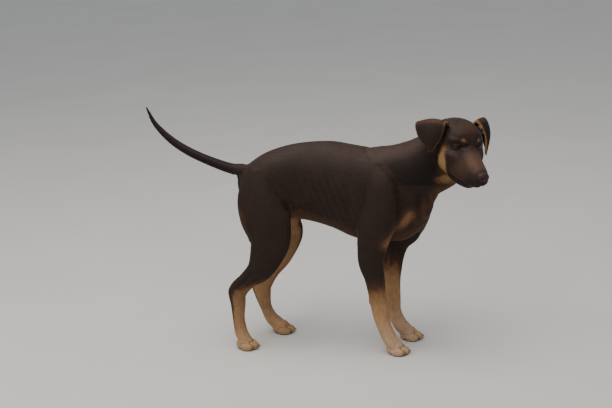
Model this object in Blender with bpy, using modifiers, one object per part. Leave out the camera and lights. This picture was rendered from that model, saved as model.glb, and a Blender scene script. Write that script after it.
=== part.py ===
"""A young short-coated dog with dropped ears, standing with its tail up and its head turned to its right.

The flesh is one body of lofted forms, joined by a voxel remesh and parted with thin cuts where a person would
name the parts. Eyes, nose, ears and claws are pieces of their own. Metres, +Z up, the chest towards +X, and
the origin is on the floor below the middle of the dog's box.
"""

from math import cos, pi, radians, sin
from typing import NamedTuple

import bmesh
import bpy
import numpy as np
from mathutils import Matrix, Vector

COLLECTION = "young_dog"
CUTTERS = "young_dog_cutters"
VOXEL = 0.0024
GAP = 0.0003
CUT_THICKNESS = 0.0006
FLESH_TRIANGLES = 2900
BODY_SIDES = 28
STEP = 0.006

# The head's own frame: its origin is between the eyes and +X runs towards the nose.
HEAD = (
    Matrix.Translation((0.338, -0.035, 0.452))
    @ Matrix.Rotation(radians(-54), 4, "Z")
    @ Matrix.Rotation(radians(14), 4, "Y")
    @ Matrix.Rotation(radians(-7.5), 4, "X")
)
EYE_RADIUS = 0.0095
EYE = Vector((-0.0056, 0.0242, -0.0040))
ORBIT = Vector((0.0142, 0.0322, -0.0035))
ORBIT_RADII = (0.0150, 0.0145, 0.0100)
NOSE = Vector((0.0735, 0, -0.0355))
NOSE_RADII = (0.0100, 0.0135, 0.0100)
EAR_THICKNESS = 0.0034

TOE_SPACING = 0.0100
TOE_RADII = (0.0140, 0.0064, 0.0092)
TOE_HEIGHT = 0.0076
CLAW_RADIUS = 0.0021


class Slice(NamedTuple):
    """An upright section across X: two half-ellipses that share their widest level."""

    x: float
    top: float
    widest: float
    bottom: float
    half_width: float


class Ring(NamedTuple):
    """A section square to a limb's path: its centre, and its reach to the side, ahead and behind."""

    x: float
    y: float
    z: float
    side: float
    ahead: float
    behind: float


class Colour(NamedTuple):
    """A material's linear colour and roughness."""

    rgb: tuple
    roughness: float


class Cut(NamedTuple):
    """A thin flat cut: its middle, the way it faces, and its half size across."""

    middle: tuple
    facing: tuple
    reach: float


TRUNK = (
    Slice(-0.148, 0.384, 0.350, 0.318, 0.026),
    Slice(-0.135, 0.395, 0.350, 0.292, 0.044),
    Slice(-0.097, 0.421, 0.362, 0.278, 0.056),
    Slice(-0.052, 0.438, 0.375, 0.278, 0.053),
    Slice(-0.007, 0.447, 0.370, 0.277, 0.051),
    Slice(0.047, 0.450, 0.360, 0.263, 0.059),
    Slice(0.090, 0.444, 0.348, 0.244, 0.064),
    Slice(0.133, 0.436, 0.340, 0.233, 0.064),
    Slice(0.168, 0.430, 0.338, 0.235, 0.060),
    Slice(0.202, 0.412, 0.330, 0.238, 0.053),
    Slice(0.232, 0.390, 0.328, 0.258, 0.042),
    Slice(0.247, 0.369, 0.330, 0.285, 0.030),
)
NECK = (
    Ring(0.150, 0.000, 0.360, 0.050, 0.080, 0.066),
    Ring(0.195, 0.001, 0.378, 0.047, 0.070, 0.070),
    Ring(0.235, 0.005, 0.402, 0.043, 0.056, 0.075),
    Ring(0.266, 0.010, 0.424, 0.040, 0.047, 0.078),
    Ring(0.292, 0.018, 0.440, 0.038, 0.040, 0.062),
)
TAIL = (
    Ring(-0.118, 0, 0.374, 0.016, 0.016, 0.018),
    Ring(-0.146, 0, 0.383, 0.0125, 0.0125, 0.0125),
    Ring(-0.172, 0, 0.388, 0.0112, 0.0115, 0.0115),
    Ring(-0.216, 0, 0.404, 0.0104, 0.0108, 0.0108),
    Ring(-0.260, 0, 0.424, 0.0096, 0.0100, 0.0100),
    Ring(-0.298, 0, 0.449, 0.0082, 0.0087, 0.0087),
    Ring(-0.330, 0, 0.482, 0.0060, 0.0062, 0.0062),
    Ring(-0.346, 0, 0.514, 0.0030, 0.0030, 0.0030),
)
SHOULDER = (
    Ring(0.150, 0.030, 0.405, 0.020, 0.030, 0.030),
    Ring(0.160, 0.041, 0.365, 0.023, 0.041, 0.045),
    Ring(0.163, 0.047, 0.315, 0.024, 0.041, 0.048),
)
THIGH = (
    Ring(-0.086, 0.028, 0.388, 0.022, 0.040, 0.042),
    Ring(-0.088, 0.040, 0.338, 0.027, 0.050, 0.055),
    Ring(-0.085, 0.046, 0.292, 0.028, 0.054, 0.054),
    Ring(-0.081, 0.050, 0.252, 0.025, 0.050, 0.046),
)
LEGS = {
    "right_fore": (
        Ring(0.150, -0.050, 0.270, 0.022, 0.034, 0.040),
        Ring(0.138, -0.050, 0.208, 0.0175, 0.0260, 0.0300),
        Ring(0.143, -0.049, 0.167, 0.0155, 0.0220, 0.0220),
        Ring(0.148, -0.048, 0.127, 0.0145, 0.0190, 0.0190),
        Ring(0.153, -0.047, 0.090, 0.0155, 0.0180, 0.0178),
        Ring(0.160, -0.047, 0.062, 0.0145, 0.0160, 0.0165),
        Ring(0.171, -0.047, 0.036, 0.0165, 0.0160, 0.0165),
        Ring(0.179, -0.047, 0.020, 0.0170, 0.0150, 0.0140),
    ),
    "left_fore": (
        Ring(0.172, 0.047, 0.276, 0.024, 0.069, 0.058),
        Ring(0.170, 0.049, 0.240, 0.022, 0.059, 0.046),
        Ring(0.165, 0.049, 0.208, 0.0180, 0.0360, 0.0360),
        Ring(0.163, 0.046, 0.167, 0.0155, 0.0255, 0.0230),
        Ring(0.165, 0.043, 0.127, 0.0145, 0.0190, 0.0190),
        Ring(0.166, 0.041, 0.090, 0.0155, 0.0180, 0.0178),
        Ring(0.169, 0.039, 0.062, 0.0145, 0.0160, 0.0165),
        Ring(0.180, 0.038, 0.036, 0.0165, 0.0160, 0.0165),
        Ring(0.193, 0.037, 0.020, 0.0170, 0.0160, 0.0150),
    ),
    "right_hind": (
        Ring(-0.083, -0.054, 0.228, 0.0225, 0.0425, 0.0390),
        Ring(-0.102, -0.055, 0.183, 0.0175, 0.0295, 0.0280),
        Ring(-0.130, -0.055, 0.155, 0.0145, 0.0190, 0.0210),
        Ring(-0.152, -0.055, 0.130, 0.0140, 0.0190, 0.0220),
        Ring(-0.154, -0.055, 0.100, 0.0130, 0.0160, 0.0175),
        Ring(-0.155, -0.055, 0.068, 0.0125, 0.0135, 0.0138),
        Ring(-0.151, -0.055, 0.038, 0.0145, 0.0140, 0.0150),
        Ring(-0.145, -0.055, 0.021, 0.0160, 0.0140, 0.0130),
    ),
    "left_hind": (
        Ring(-0.076, 0.052, 0.228, 0.0225, 0.0460, 0.0400),
        Ring(-0.088, 0.051, 0.182, 0.0175, 0.0330, 0.0310),
        Ring(-0.110, 0.049, 0.146, 0.0145, 0.0250, 0.0240),
        Ring(-0.127, 0.048, 0.114, 0.0140, 0.0240, 0.0240),
        Ring(-0.126, 0.047, 0.086, 0.0130, 0.0185, 0.0190),
        Ring(-0.120, 0.046, 0.058, 0.0125, 0.0135, 0.0138),
        Ring(-0.109, 0.045, 0.035, 0.0145, 0.0140, 0.0150),
        Ring(-0.096, 0.045, 0.020, 0.0160, 0.0160, 0.0150),
    ),
}
# Each paw's front end on the floor, and the way it points, in degrees to the dog's left.
PAWS = {
    "right_fore": ((0.213, -0.050), -6),
    "left_fore": ((0.230, 0.038), 2),
    "right_hind": ((-0.114, -0.058), -6),
    "left_hind": ((-0.057, 0.046), 4),
}

# Head frame from here to the ears.
SKULL = (
    Slice(-0.088, 0.018, -0.002, -0.030, 0.024),
    Slice(-0.070, 0.030, 0.002, -0.058, 0.040),
    Slice(-0.045, 0.037, 0.000, -0.076, 0.047),
    Slice(-0.020, 0.036, -0.008, -0.081, 0.048),
    Slice(-0.002, 0.028, -0.022, -0.084, 0.0430),
    Slice(0.012, 0.011, -0.032, -0.084, 0.0350),
    Slice(0.024, -0.003, -0.037, -0.082, 0.0285),
    Slice(0.040, -0.011, -0.040, -0.076, 0.0245),
    Slice(0.056, -0.018, -0.043, -0.066, 0.0225),
    Slice(0.067, -0.023, -0.044, -0.058, 0.0190),
    Slice(0.073, -0.029, -0.044, -0.055, 0.0150),
)
BROW = (Vector((-0.004, 0.020, 0.013)), (0.012, 0.014, 0.011))
CHEEK = (Vector((-0.024, 0.029, -0.034)), (0.028, 0.019, 0.030))
CHIN = (Vector((0.051, 0, -0.059)), (0.016, 0.013, 0.010))

# Each ear is a sheet through four rows, from its front edge to its back edge: root, fold, flap and tip.
EARS = {
    "right": (
        ((-0.032, -0.029, 0.027), (-0.048, -0.038, 0.022), (-0.064, -0.037, 0.006)),
        ((-0.029, -0.045, 0.036), (-0.047, -0.068, 0.035), (-0.070, -0.086, 0.019)),
        ((-0.018, -0.053, 0.012), (-0.031, -0.075, 0.012), (-0.052, -0.088, -0.004)),
        ((-0.018, -0.068, -0.023), (-0.021, -0.072, -0.025), (-0.025, -0.074, -0.022)),
    ),
    "left": (
        ((-0.031, 0.018, 0.027), (-0.050, 0.035, 0.022), (-0.066, 0.036, 0.006)),
        ((-0.032, 0.027, 0.0365), (-0.050, 0.059, 0.036), (-0.071, 0.066, 0.017)),
        ((-0.024, 0.0465, 0.012), (-0.038, 0.073, 0.008), (-0.058, 0.069, -0.009)),
        ((-0.018, 0.060, -0.030), (-0.021, 0.065, -0.032), (-0.025, 0.067, -0.029)),
    ),
}

CUTS = (
    Cut((0.266, 0.012, 0.410), (0.84, 0.10, 0.52), 0.082),
    Cut((0.231, 0.003, 0.3975), (0.836, 0.0, 0.549), 0.088),
    Cut((0.056, 0.000, 0.357), (1, 0, 0), 0.105),
    Cut((-0.014, 0.000, 0.362), (1, 0, 0), 0.094),
    Cut((-0.164, 0.000, 0.386), (0.98, 0, -0.20), 0.024),
    Cut((-0.222, 0.000, 0.407), (0.92, 0, -0.40), 0.018),
    Cut((-0.292, 0.000, 0.445), (0.84, 0, -0.54), 0.018),
    Cut((0.138, -0.050, 0.226), (0, 0, 1), 0.039),
    Cut((0.170, 0.050, 0.226), (0, 0, 1), 0.060),
    Cut((0.164, -0.047, 0.052), (-0.3, 0, 1), 0.026),
    Cut((0.178, 0.039, 0.052), (-0.3, 0, 1), 0.026),
    Cut((-0.083, -0.056, 0.214), (0, 0, 1), 0.046),
    Cut((-0.080, 0.056, 0.214), (0, 0, 1), 0.046),
    Cut((-0.150, -0.055, 0.118), (0, 0, 1), 0.030),
    Cut((-0.131, 0.048, 0.104), (-0.15, 0, 1), 0.030),
    Cut((-0.153, -0.055, 0.046), (-0.15, 0, 1), 0.022),
    Cut((-0.114, 0.046, 0.043), (-0.40, 0, 1), 0.022),
)
# Bowl-shaped cuts part the shoulders and thighs: middle, radii, and the level where the leg's flat cut is.
BOWLS = (
    ((0.145, -0.072, 0.290), (0.055, 0.047, 0.125), 0.226),
    ((0.160, 0.072, 0.290), (0.077, 0.049, 0.125), 0.226),
    ((-0.084, -0.074, 0.290), (0.062, 0.059, 0.125), 0.214),
    ((-0.083, 0.074, 0.290), (0.0665, 0.059, 0.125), 0.214),
)

# A point inside each piece of the flesh.
FLESH = {
    "head": (0.335, -0.030, 0.440),
    "neck": (0.250, 0.008, 0.400),
    "chest": (0.120, 0.000, 0.340),
    "loin": (0.015, 0.000, 0.360),
    "rump": (-0.085, 0.000, 0.360),
    "tail_root": (-0.188, 0.000, 0.394),
    "tail_middle": (-0.258, 0.000, 0.425),
    "tail_tip": (-0.325, 0.000, 0.480),
    "right_shoulder": (0.150, -0.058, 0.300),
    "left_shoulder": (0.150, 0.058, 0.300),
    "right_forearm": (0.148, -0.049, 0.130),
    "left_forearm": (0.163, 0.044, 0.130),
    "right_forepaw": (0.185, -0.049, 0.020),
    "left_forepaw": (0.202, 0.038, 0.020),
    "right_thigh": (-0.085, -0.058, 0.290),
    "left_thigh": (-0.085, 0.058, 0.290),
    "right_shank": (-0.115, -0.055, 0.165),
    "left_shank": (-0.102, 0.050, 0.165),
    "right_hock": (-0.154, -0.055, 0.085),
    "left_hock": (-0.125, 0.047, 0.080),
    "right_hindpaw": (-0.140, -0.057, 0.018),
    "left_hindpaw": (-0.094, 0.046, 0.018),
}
DARK = Colour((0.030, 0.018, 0.013), 0.62)
TAN = Colour((0.250, 0.120, 0.058), 0.68)
EYE_COLOUR = Colour((0.030, 0.015, 0.008), 0.08)
NOSE_COLOUR = Colour((0.045, 0.022, 0.018), 0.42)
CLAW_COLOUR = Colour((0.060, 0.038, 0.027), 0.38)
TAN_PIECES = ("forearm", "paw", "hock")


def curve(rows, places):
    """A Catmull-Rom curve through the rows, read at fractional row numbers."""
    rows = np.array(rows, float)
    rows = np.vstack([2 * rows[0] - rows[1], rows, 2 * rows[-1] - rows[-2]])
    made = []
    for place in places:
        i = min(int(place), len(rows) - 4)
        t = place - i
        p0, p1, p2, p3 = rows[i : i + 4]
        bend = 2 * p0 - 5 * p1 + 4 * p2 - p3
        twist = 3 * p1 - p0 - 3 * p2 + p3
        made.append(p1 + ((p2 - p0) * t + bend * t**2 + twist * t**3) / 2)
    return np.array(made)


def even_rows(rows, step=STEP):
    """The sections again, read at about one step apart along their curve."""
    places = []
    for i, (near, far) in enumerate(zip(rows, rows[1:])):
        length = np.linalg.norm(np.subtract(far, near)[:3])
        count = max(2, round(length / step))
        places.extend(i + np.arange(count) / count)
    return curve(rows, [*places, len(rows) - 1])


def dome(ring, inner):
    """Shrinking copies of an end ring that round it off on the side away from the inner ring."""
    centre = ring.mean(0)
    outward = centre - inner.mean(0)
    outward /= np.linalg.norm(outward)
    reach = 0.6 * np.linalg.norm(ring - centre, axis=1).min()
    tilts = np.radians((25, 50, 72, 86))
    return [centre + (ring - centre) * cos(a) + outward * reach * sin(a) for a in tilts]


def loft(bm, rings, place=None, rounded=True):
    """A closed tube through the rings, with its ends rounded off or left flat."""
    if rounded:
        rings = [*dome(rings[0], rings[1])[::-1], *rings, *dome(rings[-1], rings[-2])]
    place = place or Matrix.Identity(4)
    loops = [[bm.verts.new(place @ Vector(p)) for p in ring] for ring in rings]
    for near, far in zip(loops, loops[1:]):
        for i, vert in enumerate(near):
            j = (i + 1) % len(near)
            bm.faces.new((vert, near[j], far[j], far[i]))
    bm.faces.new(loops[0][::-1])
    bm.faces.new(loops[-1])


def loft_slices(bm, rows, place=None):
    """Upright sections along X."""
    angles = np.linspace(0, 2 * pi, BODY_SIDES, endpoint=False)
    rings = []
    for x, top, widest, bottom, half_width in even_rows(rows):
        height = np.where(np.sin(angles) > 0, top - widest, widest - bottom)
        y, z = half_width * np.cos(angles), widest + height * np.sin(angles)
        rings.append(np.stack([np.full_like(y, x), y, z], 1))
    loft(bm, rings, place)


def loft_rings(bm, rows, sides=BODY_SIDES):
    """A limb, through sections read closely along its path."""
    loft(bm, section_rings(even_rows(rows), sides))


def section_rings(rows, sides):
    """Points of sections square to a path. Ahead is above a path that runs forwards."""
    angles = np.linspace(0, 2 * pi, sides, endpoint=False)
    rings = []
    for row, way in zip(rows, np.gradient(rows[:, :3], axis=0)):
        ahead = np.cross(way, (0, 1, 0))
        ahead /= np.linalg.norm(ahead)
        across = np.cross(ahead, way)
        across /= np.linalg.norm(across)
        reach = np.where(np.sin(angles) > 0, row[4], row[5]) * np.sin(angles)
        rings.append(row[:3] + np.outer(row[3] * np.cos(angles), across) + np.outer(reach, ahead))
    return rings


def ball(bm, centre, radii, place=None, segments=24):
    """An ellipsoid that lies along the axes of its frame."""
    matrix = (place or Matrix.Identity(4)) @ Matrix.Translation(centre) @ Matrix.Diagonal((*radii, 1))
    bmesh.ops.create_uvsphere(
        bm, u_segments=segments, v_segments=segments * 2 // 3, radius=1, matrix=matrix
    )


def on_side(rows, name):
    """The left side's upper limb sections, mirrored for a limb of the right."""
    side = -1 if name.startswith("right") else 1
    return [row._replace(y=row.y * side) for row in rows]


def paw_frame(name):
    """A paw's frame: its origin on the floor at its front end, +X ahead."""
    (x, y), turn = PAWS[name]
    return Matrix.Translation((x, y, 0)) @ Matrix.Rotation(radians(turn), 4, "Z")


def toe_places():
    """The middles of the four toes in a paw's frame. The outer two stand back."""
    for i in (-1.5, -0.5, 0.5, 1.5):
        back = 0.0085 if abs(i) > 1 else 0
        yield Vector((-TOE_RADII[0] - back, TOE_SPACING * i, TOE_HEIGHT))


def add_paw(bm, frame):
    """Toes, pad and knuckles. Toes and pad reach just below the floor, to be cut flat there."""
    for place in toe_places():
        ball(bm, place, TOE_RADII, frame, 18)
    ball(bm, (-0.034, 0, 0.0105), (0.0160, 0.0165, 0.0125), frame)
    ball(bm, (-0.030, 0, 0.0170), (0.0170, 0.0175, 0.0125), frame)


def new_object(bm, name, collection):
    """The bmesh's body as a smooth-shaded object, outward facing."""
    bmesh.ops.recalc_face_normals(bm, faces=bm.faces)
    mesh = bpy.data.meshes.new(name)
    bm.to_mesh(mesh)
    bm.free()
    mesh.shade_smooth()
    obj = bpy.data.objects.new(name, mesh)
    collection.objects.link(obj)
    return obj


def new_cutter(bm, name, collection):
    """A body that is only cut with."""
    obj = new_object(bm, name, collection)
    obj.hide_render = True
    obj.display_type = "WIRE"
    return obj


def apply_modifiers(obj):
    """The object with its modifiers worked out into its mesh."""
    depsgraph = bpy.context.evaluated_depsgraph_get()
    mesh = bpy.data.meshes.new_from_object(obj.evaluated_get(depsgraph))
    obj.modifiers.clear()
    old, obj.data = obj.data, mesh
    bpy.data.meshes.remove(old)


def subtract(obj, cutter):
    """A Boolean difference, worked out at once."""
    modifier = obj.modifiers.new(cutter.name, "BOOLEAN")
    modifier.object = cutter
    modifier.operation = "DIFFERENCE"
    modifier.solver = "EXACT"
    apply_modifiers(obj)


def build_flesh(collection, cutters):
    """Every lofted form as one skin, hollowed before the eyes and brought down to its triangle count."""
    bm = bmesh.new()
    loft_slices(bm, TRUNK)
    loft_rings(bm, NECK)
    loft_rings(bm, TAIL, 20)
    for name, rows in LEGS.items():
        upper = SHOULDER if name.endswith("fore") else THIGH
        loft_rings(bm, [*on_side(upper, name), *rows])
        add_paw(bm, paw_frame(name))
    loft_slices(bm, SKULL, HEAD)
    ball(bm, *CHIN, HEAD)
    for side in (-1, 1):
        for centre, radii in (BROW, CHEEK):
            ball(bm, centre * Vector((1, side, 1)), radii, HEAD)
    flesh = new_object(bm, "flesh", collection)
    remesh(flesh)
    apply_modifiers(flesh)

    bm = bmesh.new()
    for side in (-1, 1):
        ball(bm, ORBIT * Vector((1, side, 1)), ORBIT_RADII, HEAD)
    subtract(flesh, new_cutter(bm, "orbits", cutters))
    remesh(flesh)
    smooth = flesh.modifiers.new("smooth", "SMOOTH")
    smooth.factor = 0.5
    smooth.iterations = 5
    apply_modifiers(flesh)
    thin_out(flesh)
    return flesh


def remesh(obj):
    modifier = obj.modifiers.new("remesh", "REMESH")
    modifier.mode = "VOXEL"
    modifier.voxel_size = VOXEL


def thin_out(obj):
    """Collapse the mesh to its triangle count."""
    triangles = sum(len(p.vertices) - 2 for p in obj.data.polygons)
    modifier = obj.modifiers.new("decimate", "DECIMATE")
    modifier.ratio = FLESH_TRIANGLES / triangles
    modifier.use_collapse_triangulate = True
    apply_modifiers(obj)


def flat_cut(cut, cutters, name):
    """A thin square plate."""
    bm = bmesh.new()
    turn = Vector(cut.facing).to_track_quat("Z", "Y").to_matrix().to_4x4()
    size = Matrix.Diagonal((2 * cut.reach, 2 * cut.reach, CUT_THICKNESS, 1))
    bmesh.ops.create_cube(bm, size=1, matrix=Matrix.Translation(cut.middle) @ turn @ size)
    return new_cutter(bm, name, cutters)


def bowl_cut(middle, radii, level, cutters, name):
    """The thin wall of a dome on a straight skirt that reaches down to its level."""
    middle = Vector(middle)
    bm = bmesh.new()
    ball(bm, middle, radii, segments=14)
    geometry = [*bm.verts, *bm.edges, *bm.faces]
    bmesh.ops.bisect_plane(bm, geom=geometry, plane_co=middle, plane_no=(0, 0, -1), clear_outer=True)
    rim = [edge for edge in bm.edges if edge.is_boundary]
    skirt = bmesh.ops.extrude_edge_only(bm, edges=rim)["geom"]
    for vert in skirt:
        if isinstance(vert, bmesh.types.BMVert):
            vert.co.z = level
    cutter = new_cutter(bm, name, cutters)
    solidify = cutter.modifiers.new("wall", "SOLIDIFY")
    solidify.thickness = CUT_THICKNESS
    solidify.offset = 0
    apply_modifiers(cutter)
    return cutter


def islands(obj):
    """The vertex indices of each separate body in an object."""
    bm = bmesh.new()
    bm.from_mesh(obj.data)
    unseen = set(bm.verts)
    while unseen:
        reached = {unseen.pop()}
        edge = list(reached)
        while edge:
            near = {e.other_vert(v) for v in edge for e in v.link_edges} - reached
            reached |= near
            edge = list(near)
        unseen -= reached
        yield {v.index for v in reached}
    bm.free()


def part_flesh(flesh, collection):
    """One object for each separate body, named for the landmark nearest its middle."""
    for indices in list(islands(flesh)):
        bm = bmesh.new()
        bm.from_mesh(flesh.data)
        bm.verts.ensure_lookup_table()
        spare = [v for v in bm.verts if v.index not in indices]
        bmesh.ops.delete(bm, geom=spare, context="VERTS")
        middle = sum((v.co for v in bm.verts), Vector()) / len(bm.verts)
        name = min(FLESH, key=lambda n: (Vector(FLESH[n]) - middle).length)
        new_object(bm, name, collection)
    bpy.data.objects.remove(flesh)


def ear_sheet(rows, count=8):
    """Points of an ear: a curve along each row, and then another from row to row."""
    across = [curve(row, np.linspace(0, 2, count)) for row in rows]
    return np.stack([curve(line, np.linspace(0, 3, count)) for line in zip(*across)])


def widened(sheet, by):
    """The sheet with its outermost points moved outwards on all four sides."""
    for rim, inner in ((sheet[0], sheet[1]), (sheet[-1], sheet[-2])):
        rim += (rim - inner) / np.linalg.norm(rim - inner, axis=1)[:, None] * by
    for rim, inner in ((sheet[:, 0], sheet[:, 1]), (sheet[:, -1], sheet[:, -2])):
        rim += (rim - inner) / np.linalg.norm(rim - inner, axis=1)[:, None] * by
    return sheet


def ear_body(rows, name, collection, make, grow=0.0):
    """The ear's sheet with a wall of even thickness, or one a little larger all round."""
    sheet = widened(ear_sheet(rows), 2 * grow)
    bm = bmesh.new()
    verts = [[bm.verts.new(HEAD @ Vector(p)) for p in line] for line in sheet]
    for near, far in zip(verts, verts[1:]):
        for i in range(len(near) - 1):
            bm.faces.new((near[i], near[i + 1], far[i + 1], far[i]))
    obj = make(bm, name, collection)
    solidify = obj.modifiers.new("wall", "SOLIDIFY")
    solidify.thickness = EAR_THICKNESS + 2 * grow
    solidify.offset = 0
    apply_modifiers(obj)
    return obj


def claw_rings(frame, toe, grow=0.0):
    """Sections of a claw that leaves the front of its toe and bends down."""
    start = toe + Vector((TOE_RADII[0] - 0.0050, 0, 0.0015))
    rings = []
    for ahead, down, radius in ((0, 0, 1), (0.0035, 0.0003, 1), (0.0065, 0.0014, 0.75), (0.0088, 0.0032, 0.3)):
        centre = frame @ (start + Vector((ahead, 0, -down)))
        reach = CLAW_RADIUS * radius + grow
        rings.append(Ring(*centre, reach * 0.8, reach, reach))
    return rings


def claw_body(bm, rings):
    """A small bent cone through a claw's sections."""
    loft(bm, section_rings(np.array(rings), 6), rounded=False)


def main():
    for obj in list(bpy.data.objects):
        bpy.data.objects.remove(obj)
    parts = bpy.data.collections.new(COLLECTION)
    cutters = bpy.data.collections.new(CUTTERS)
    for collection in (parts, cutters):
        bpy.context.scene.collection.children.link(collection)

    flesh = build_flesh(parts, cutters)

    bm = bmesh.new()
    bmesh.ops.create_cube(bm, size=1, matrix=Matrix.Translation((0, 0, -0.5)))
    subtract(flesh, new_cutter(bm, "floor", cutters))

    for side, sign in (("right", -1), ("left", 1)):
        centre = EYE * Vector((1, sign, 1))
        bm = bmesh.new()
        ball(bm, centre, [EYE_RADIUS] * 3, HEAD, 12)
        new_object(bm, f"{side}_eye", parts)
        bm = bmesh.new()
        ball(bm, centre, [EYE_RADIUS + GAP] * 3, HEAD, 12)
        subtract(flesh, new_cutter(bm, f"{side}_eye_socket", cutters))

        ear_body(EARS[side], f"{side}_ear", parts, new_object)
        slot = ear_body(EARS[side], f"{side}_ear_slot", cutters, new_cutter, 2 * GAP)
        subtract(flesh, slot)

    bm = bmesh.new()
    ball(bm, NOSE, NOSE_RADII, HEAD, 12)
    new_object(bm, "nose", parts)
    bm = bmesh.new()
    ball(bm, NOSE, [r + GAP for r in NOSE_RADII], HEAD, 12)
    subtract(flesh, new_cutter(bm, "nose_seat", cutters))

    for name in PAWS:
        frame = paw_frame(name)
        for i, toe in enumerate(toe_places(), 1):
            bm = bmesh.new()
            claw_body(bm, claw_rings(frame, toe))
            new_object(bm, f"{name}_claw_{i}", parts)
            bm = bmesh.new()
            claw_body(bm, claw_rings(frame, toe, GAP))
            subtract(flesh, new_cutter(bm, f"{name}_claw_seat_{i}", cutters))

    for i, cut in enumerate(CUTS, 1):
        subtract(flesh, flat_cut(cut, cutters, f"cut_{i}"))
    for i, bowl in enumerate(BOWLS, 1):
        subtract(flesh, bowl_cut(*bowl, cutters, f"bowl_{i}"))
    part_flesh(flesh, parts)

    colour_parts(parts)
    stand_on_origin(parts)


def colour_parts(parts):
    """A material for each part."""
    for obj in parts.objects:
        colour = DARK
        if any(piece in obj.name for piece in TAN_PIECES):
            colour = TAN
        for word, other in (("eye", EYE_COLOUR), ("nose", NOSE_COLOUR), ("claw", CLAW_COLOUR)):
            if word in obj.name:
                colour = other
        material = bpy.data.materials.new(obj.name)
        material.use_nodes = True
        shader = material.node_tree.nodes["Principled BSDF"]
        shader.inputs["Base Color"].default_value = (*colour.rgb, 1)
        shader.inputs["Roughness"].default_value = colour.roughness
        material.diffuse_color = (*colour.rgb, 1)
        obj.data.materials.clear()
        obj.data.materials.append(material)


def stand_on_origin(parts):
    """Hang the parts on an empty that brings the middle of their box over the origin."""
    corners = np.array([obj.matrix_world @ Vector(c) for obj in parts.objects for c in obj.bound_box])
    low, high = corners.min(0), corners.max(0)
    stand = bpy.data.objects.new(COLLECTION, None)
    stand.location = (-(low[0] + high[0]) / 2, -(low[1] + high[1]) / 2, -low[2])
    for obj in parts.objects:
        obj.parent = stand
    parts.objects.link(stand)


main()
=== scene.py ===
"""The looks of a young short-coated dog that stands with its tail up and its head turned to its right.

One skin of lofted forms carries the muscles, folds, lids and lips. Tufts of short coat lie over it. Eyes,
eye rims, nose and claws are pieces of their own. Shapes are worked out in the dog's own frame, which is then
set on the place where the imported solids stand.
"""

from typing import NamedTuple

import bmesh
import bpy
import numpy as np
from mathutils import Matrix, Vector


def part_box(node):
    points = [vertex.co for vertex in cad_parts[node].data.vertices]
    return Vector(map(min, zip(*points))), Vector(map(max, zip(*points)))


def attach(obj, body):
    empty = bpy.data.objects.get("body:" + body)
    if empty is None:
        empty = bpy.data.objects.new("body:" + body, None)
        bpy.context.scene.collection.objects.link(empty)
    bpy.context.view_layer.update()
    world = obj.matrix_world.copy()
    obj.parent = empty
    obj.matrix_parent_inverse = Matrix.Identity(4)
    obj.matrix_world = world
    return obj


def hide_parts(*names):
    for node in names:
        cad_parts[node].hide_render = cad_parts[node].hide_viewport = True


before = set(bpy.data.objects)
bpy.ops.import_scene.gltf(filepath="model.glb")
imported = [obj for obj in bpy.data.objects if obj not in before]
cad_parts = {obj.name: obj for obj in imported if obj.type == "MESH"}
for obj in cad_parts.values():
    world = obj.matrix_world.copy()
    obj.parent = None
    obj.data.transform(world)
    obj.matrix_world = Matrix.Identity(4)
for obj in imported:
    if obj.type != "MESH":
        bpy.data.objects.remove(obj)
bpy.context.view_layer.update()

PI = np.pi
X, Y, Z = np.eye(3)
BOTH = (-1, 1)
SKIN_VOXEL = 0.0011
SKIN_TRIANGLES = 175000
BODY_SIDES = 72
LIMB_SIDES = 56
STEP = 0.0025

# ---------------------------------------------------------------- the dog's stations

# Upright sections of the trunk: x, top, widest level, bottom, half width.
TRUNK = np.array((
    (-0.144, 0.384, 0.350, 0.318, 0.025),
    (-0.135, 0.395, 0.350, 0.292, 0.044),
    (-0.097, 0.421, 0.362, 0.278, 0.056),
    (-0.052, 0.438, 0.375, 0.278, 0.053),
    (-0.007, 0.447, 0.370, 0.277, 0.051),
    (0.047, 0.450, 0.360, 0.263, 0.059),
    (0.090, 0.444, 0.348, 0.244, 0.064),
    (0.133, 0.436, 0.340, 0.233, 0.064),
    (0.168, 0.430, 0.338, 0.235, 0.060),
    (0.202, 0.412, 0.330, 0.238, 0.053),
    (0.232, 0.390, 0.328, 0.258, 0.042),
    (0.247, 0.369, 0.330, 0.285, 0.030),
))
# Sections square to a path: x, y, z, and the reach to the side, ahead and behind.
NECK = np.array((
    (0.150, 0.000, 0.360, 0.050, 0.080, 0.066),
    (0.195, 0.001, 0.378, 0.047, 0.070, 0.070),
    (0.235, 0.005, 0.402, 0.043, 0.056, 0.075),
    (0.266, 0.010, 0.424, 0.040, 0.047, 0.078),
    (0.292, 0.018, 0.440, 0.038, 0.040, 0.062),
))
# The forms below are by the same measures. First the fill between the throat and the breast.
BREAST = np.array((
    (0.284, 0.013, 0.374, 0.022, 0.015, 0.020),
    (0.263, 0.010, 0.341, 0.024, 0.0115, 0.020),
    (0.248, 0.010, 0.312, 0.025, 0.0125, 0.020),
    (0.241, 0.014, 0.285, 0.024, 0.0120, 0.020),
    (0.230, 0.026, 0.260, 0.020, 0.0120, 0.020),
))
TAIL = np.array((
    (-0.118, 0, 0.374, 0.018, 0.017, 0.022),
    (-0.146, 0, 0.383, 0.0145, 0.0130, 0.0165),
    (-0.172, 0, 0.388, 0.0118, 0.0118, 0.0128),
    (-0.216, 0, 0.404, 0.0104, 0.0108, 0.0108),
    (-0.260, 0, 0.424, 0.0096, 0.0100, 0.0100),
    (-0.298, 0, 0.449, 0.0082, 0.0087, 0.0087),
    (-0.330, 0, 0.482, 0.0060, 0.0062, 0.0062),
    (-0.346, 0, 0.514, 0.0030, 0.0030, 0.0030),
))
SHOULDER = np.array((
    (0.150, 0.024, 0.405, 0.018, 0.028, 0.028),
    (0.160, 0.041, 0.365, 0.023, 0.041, 0.045),
    (0.163, 0.047, 0.315, 0.024, 0.041, 0.048),
))
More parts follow.
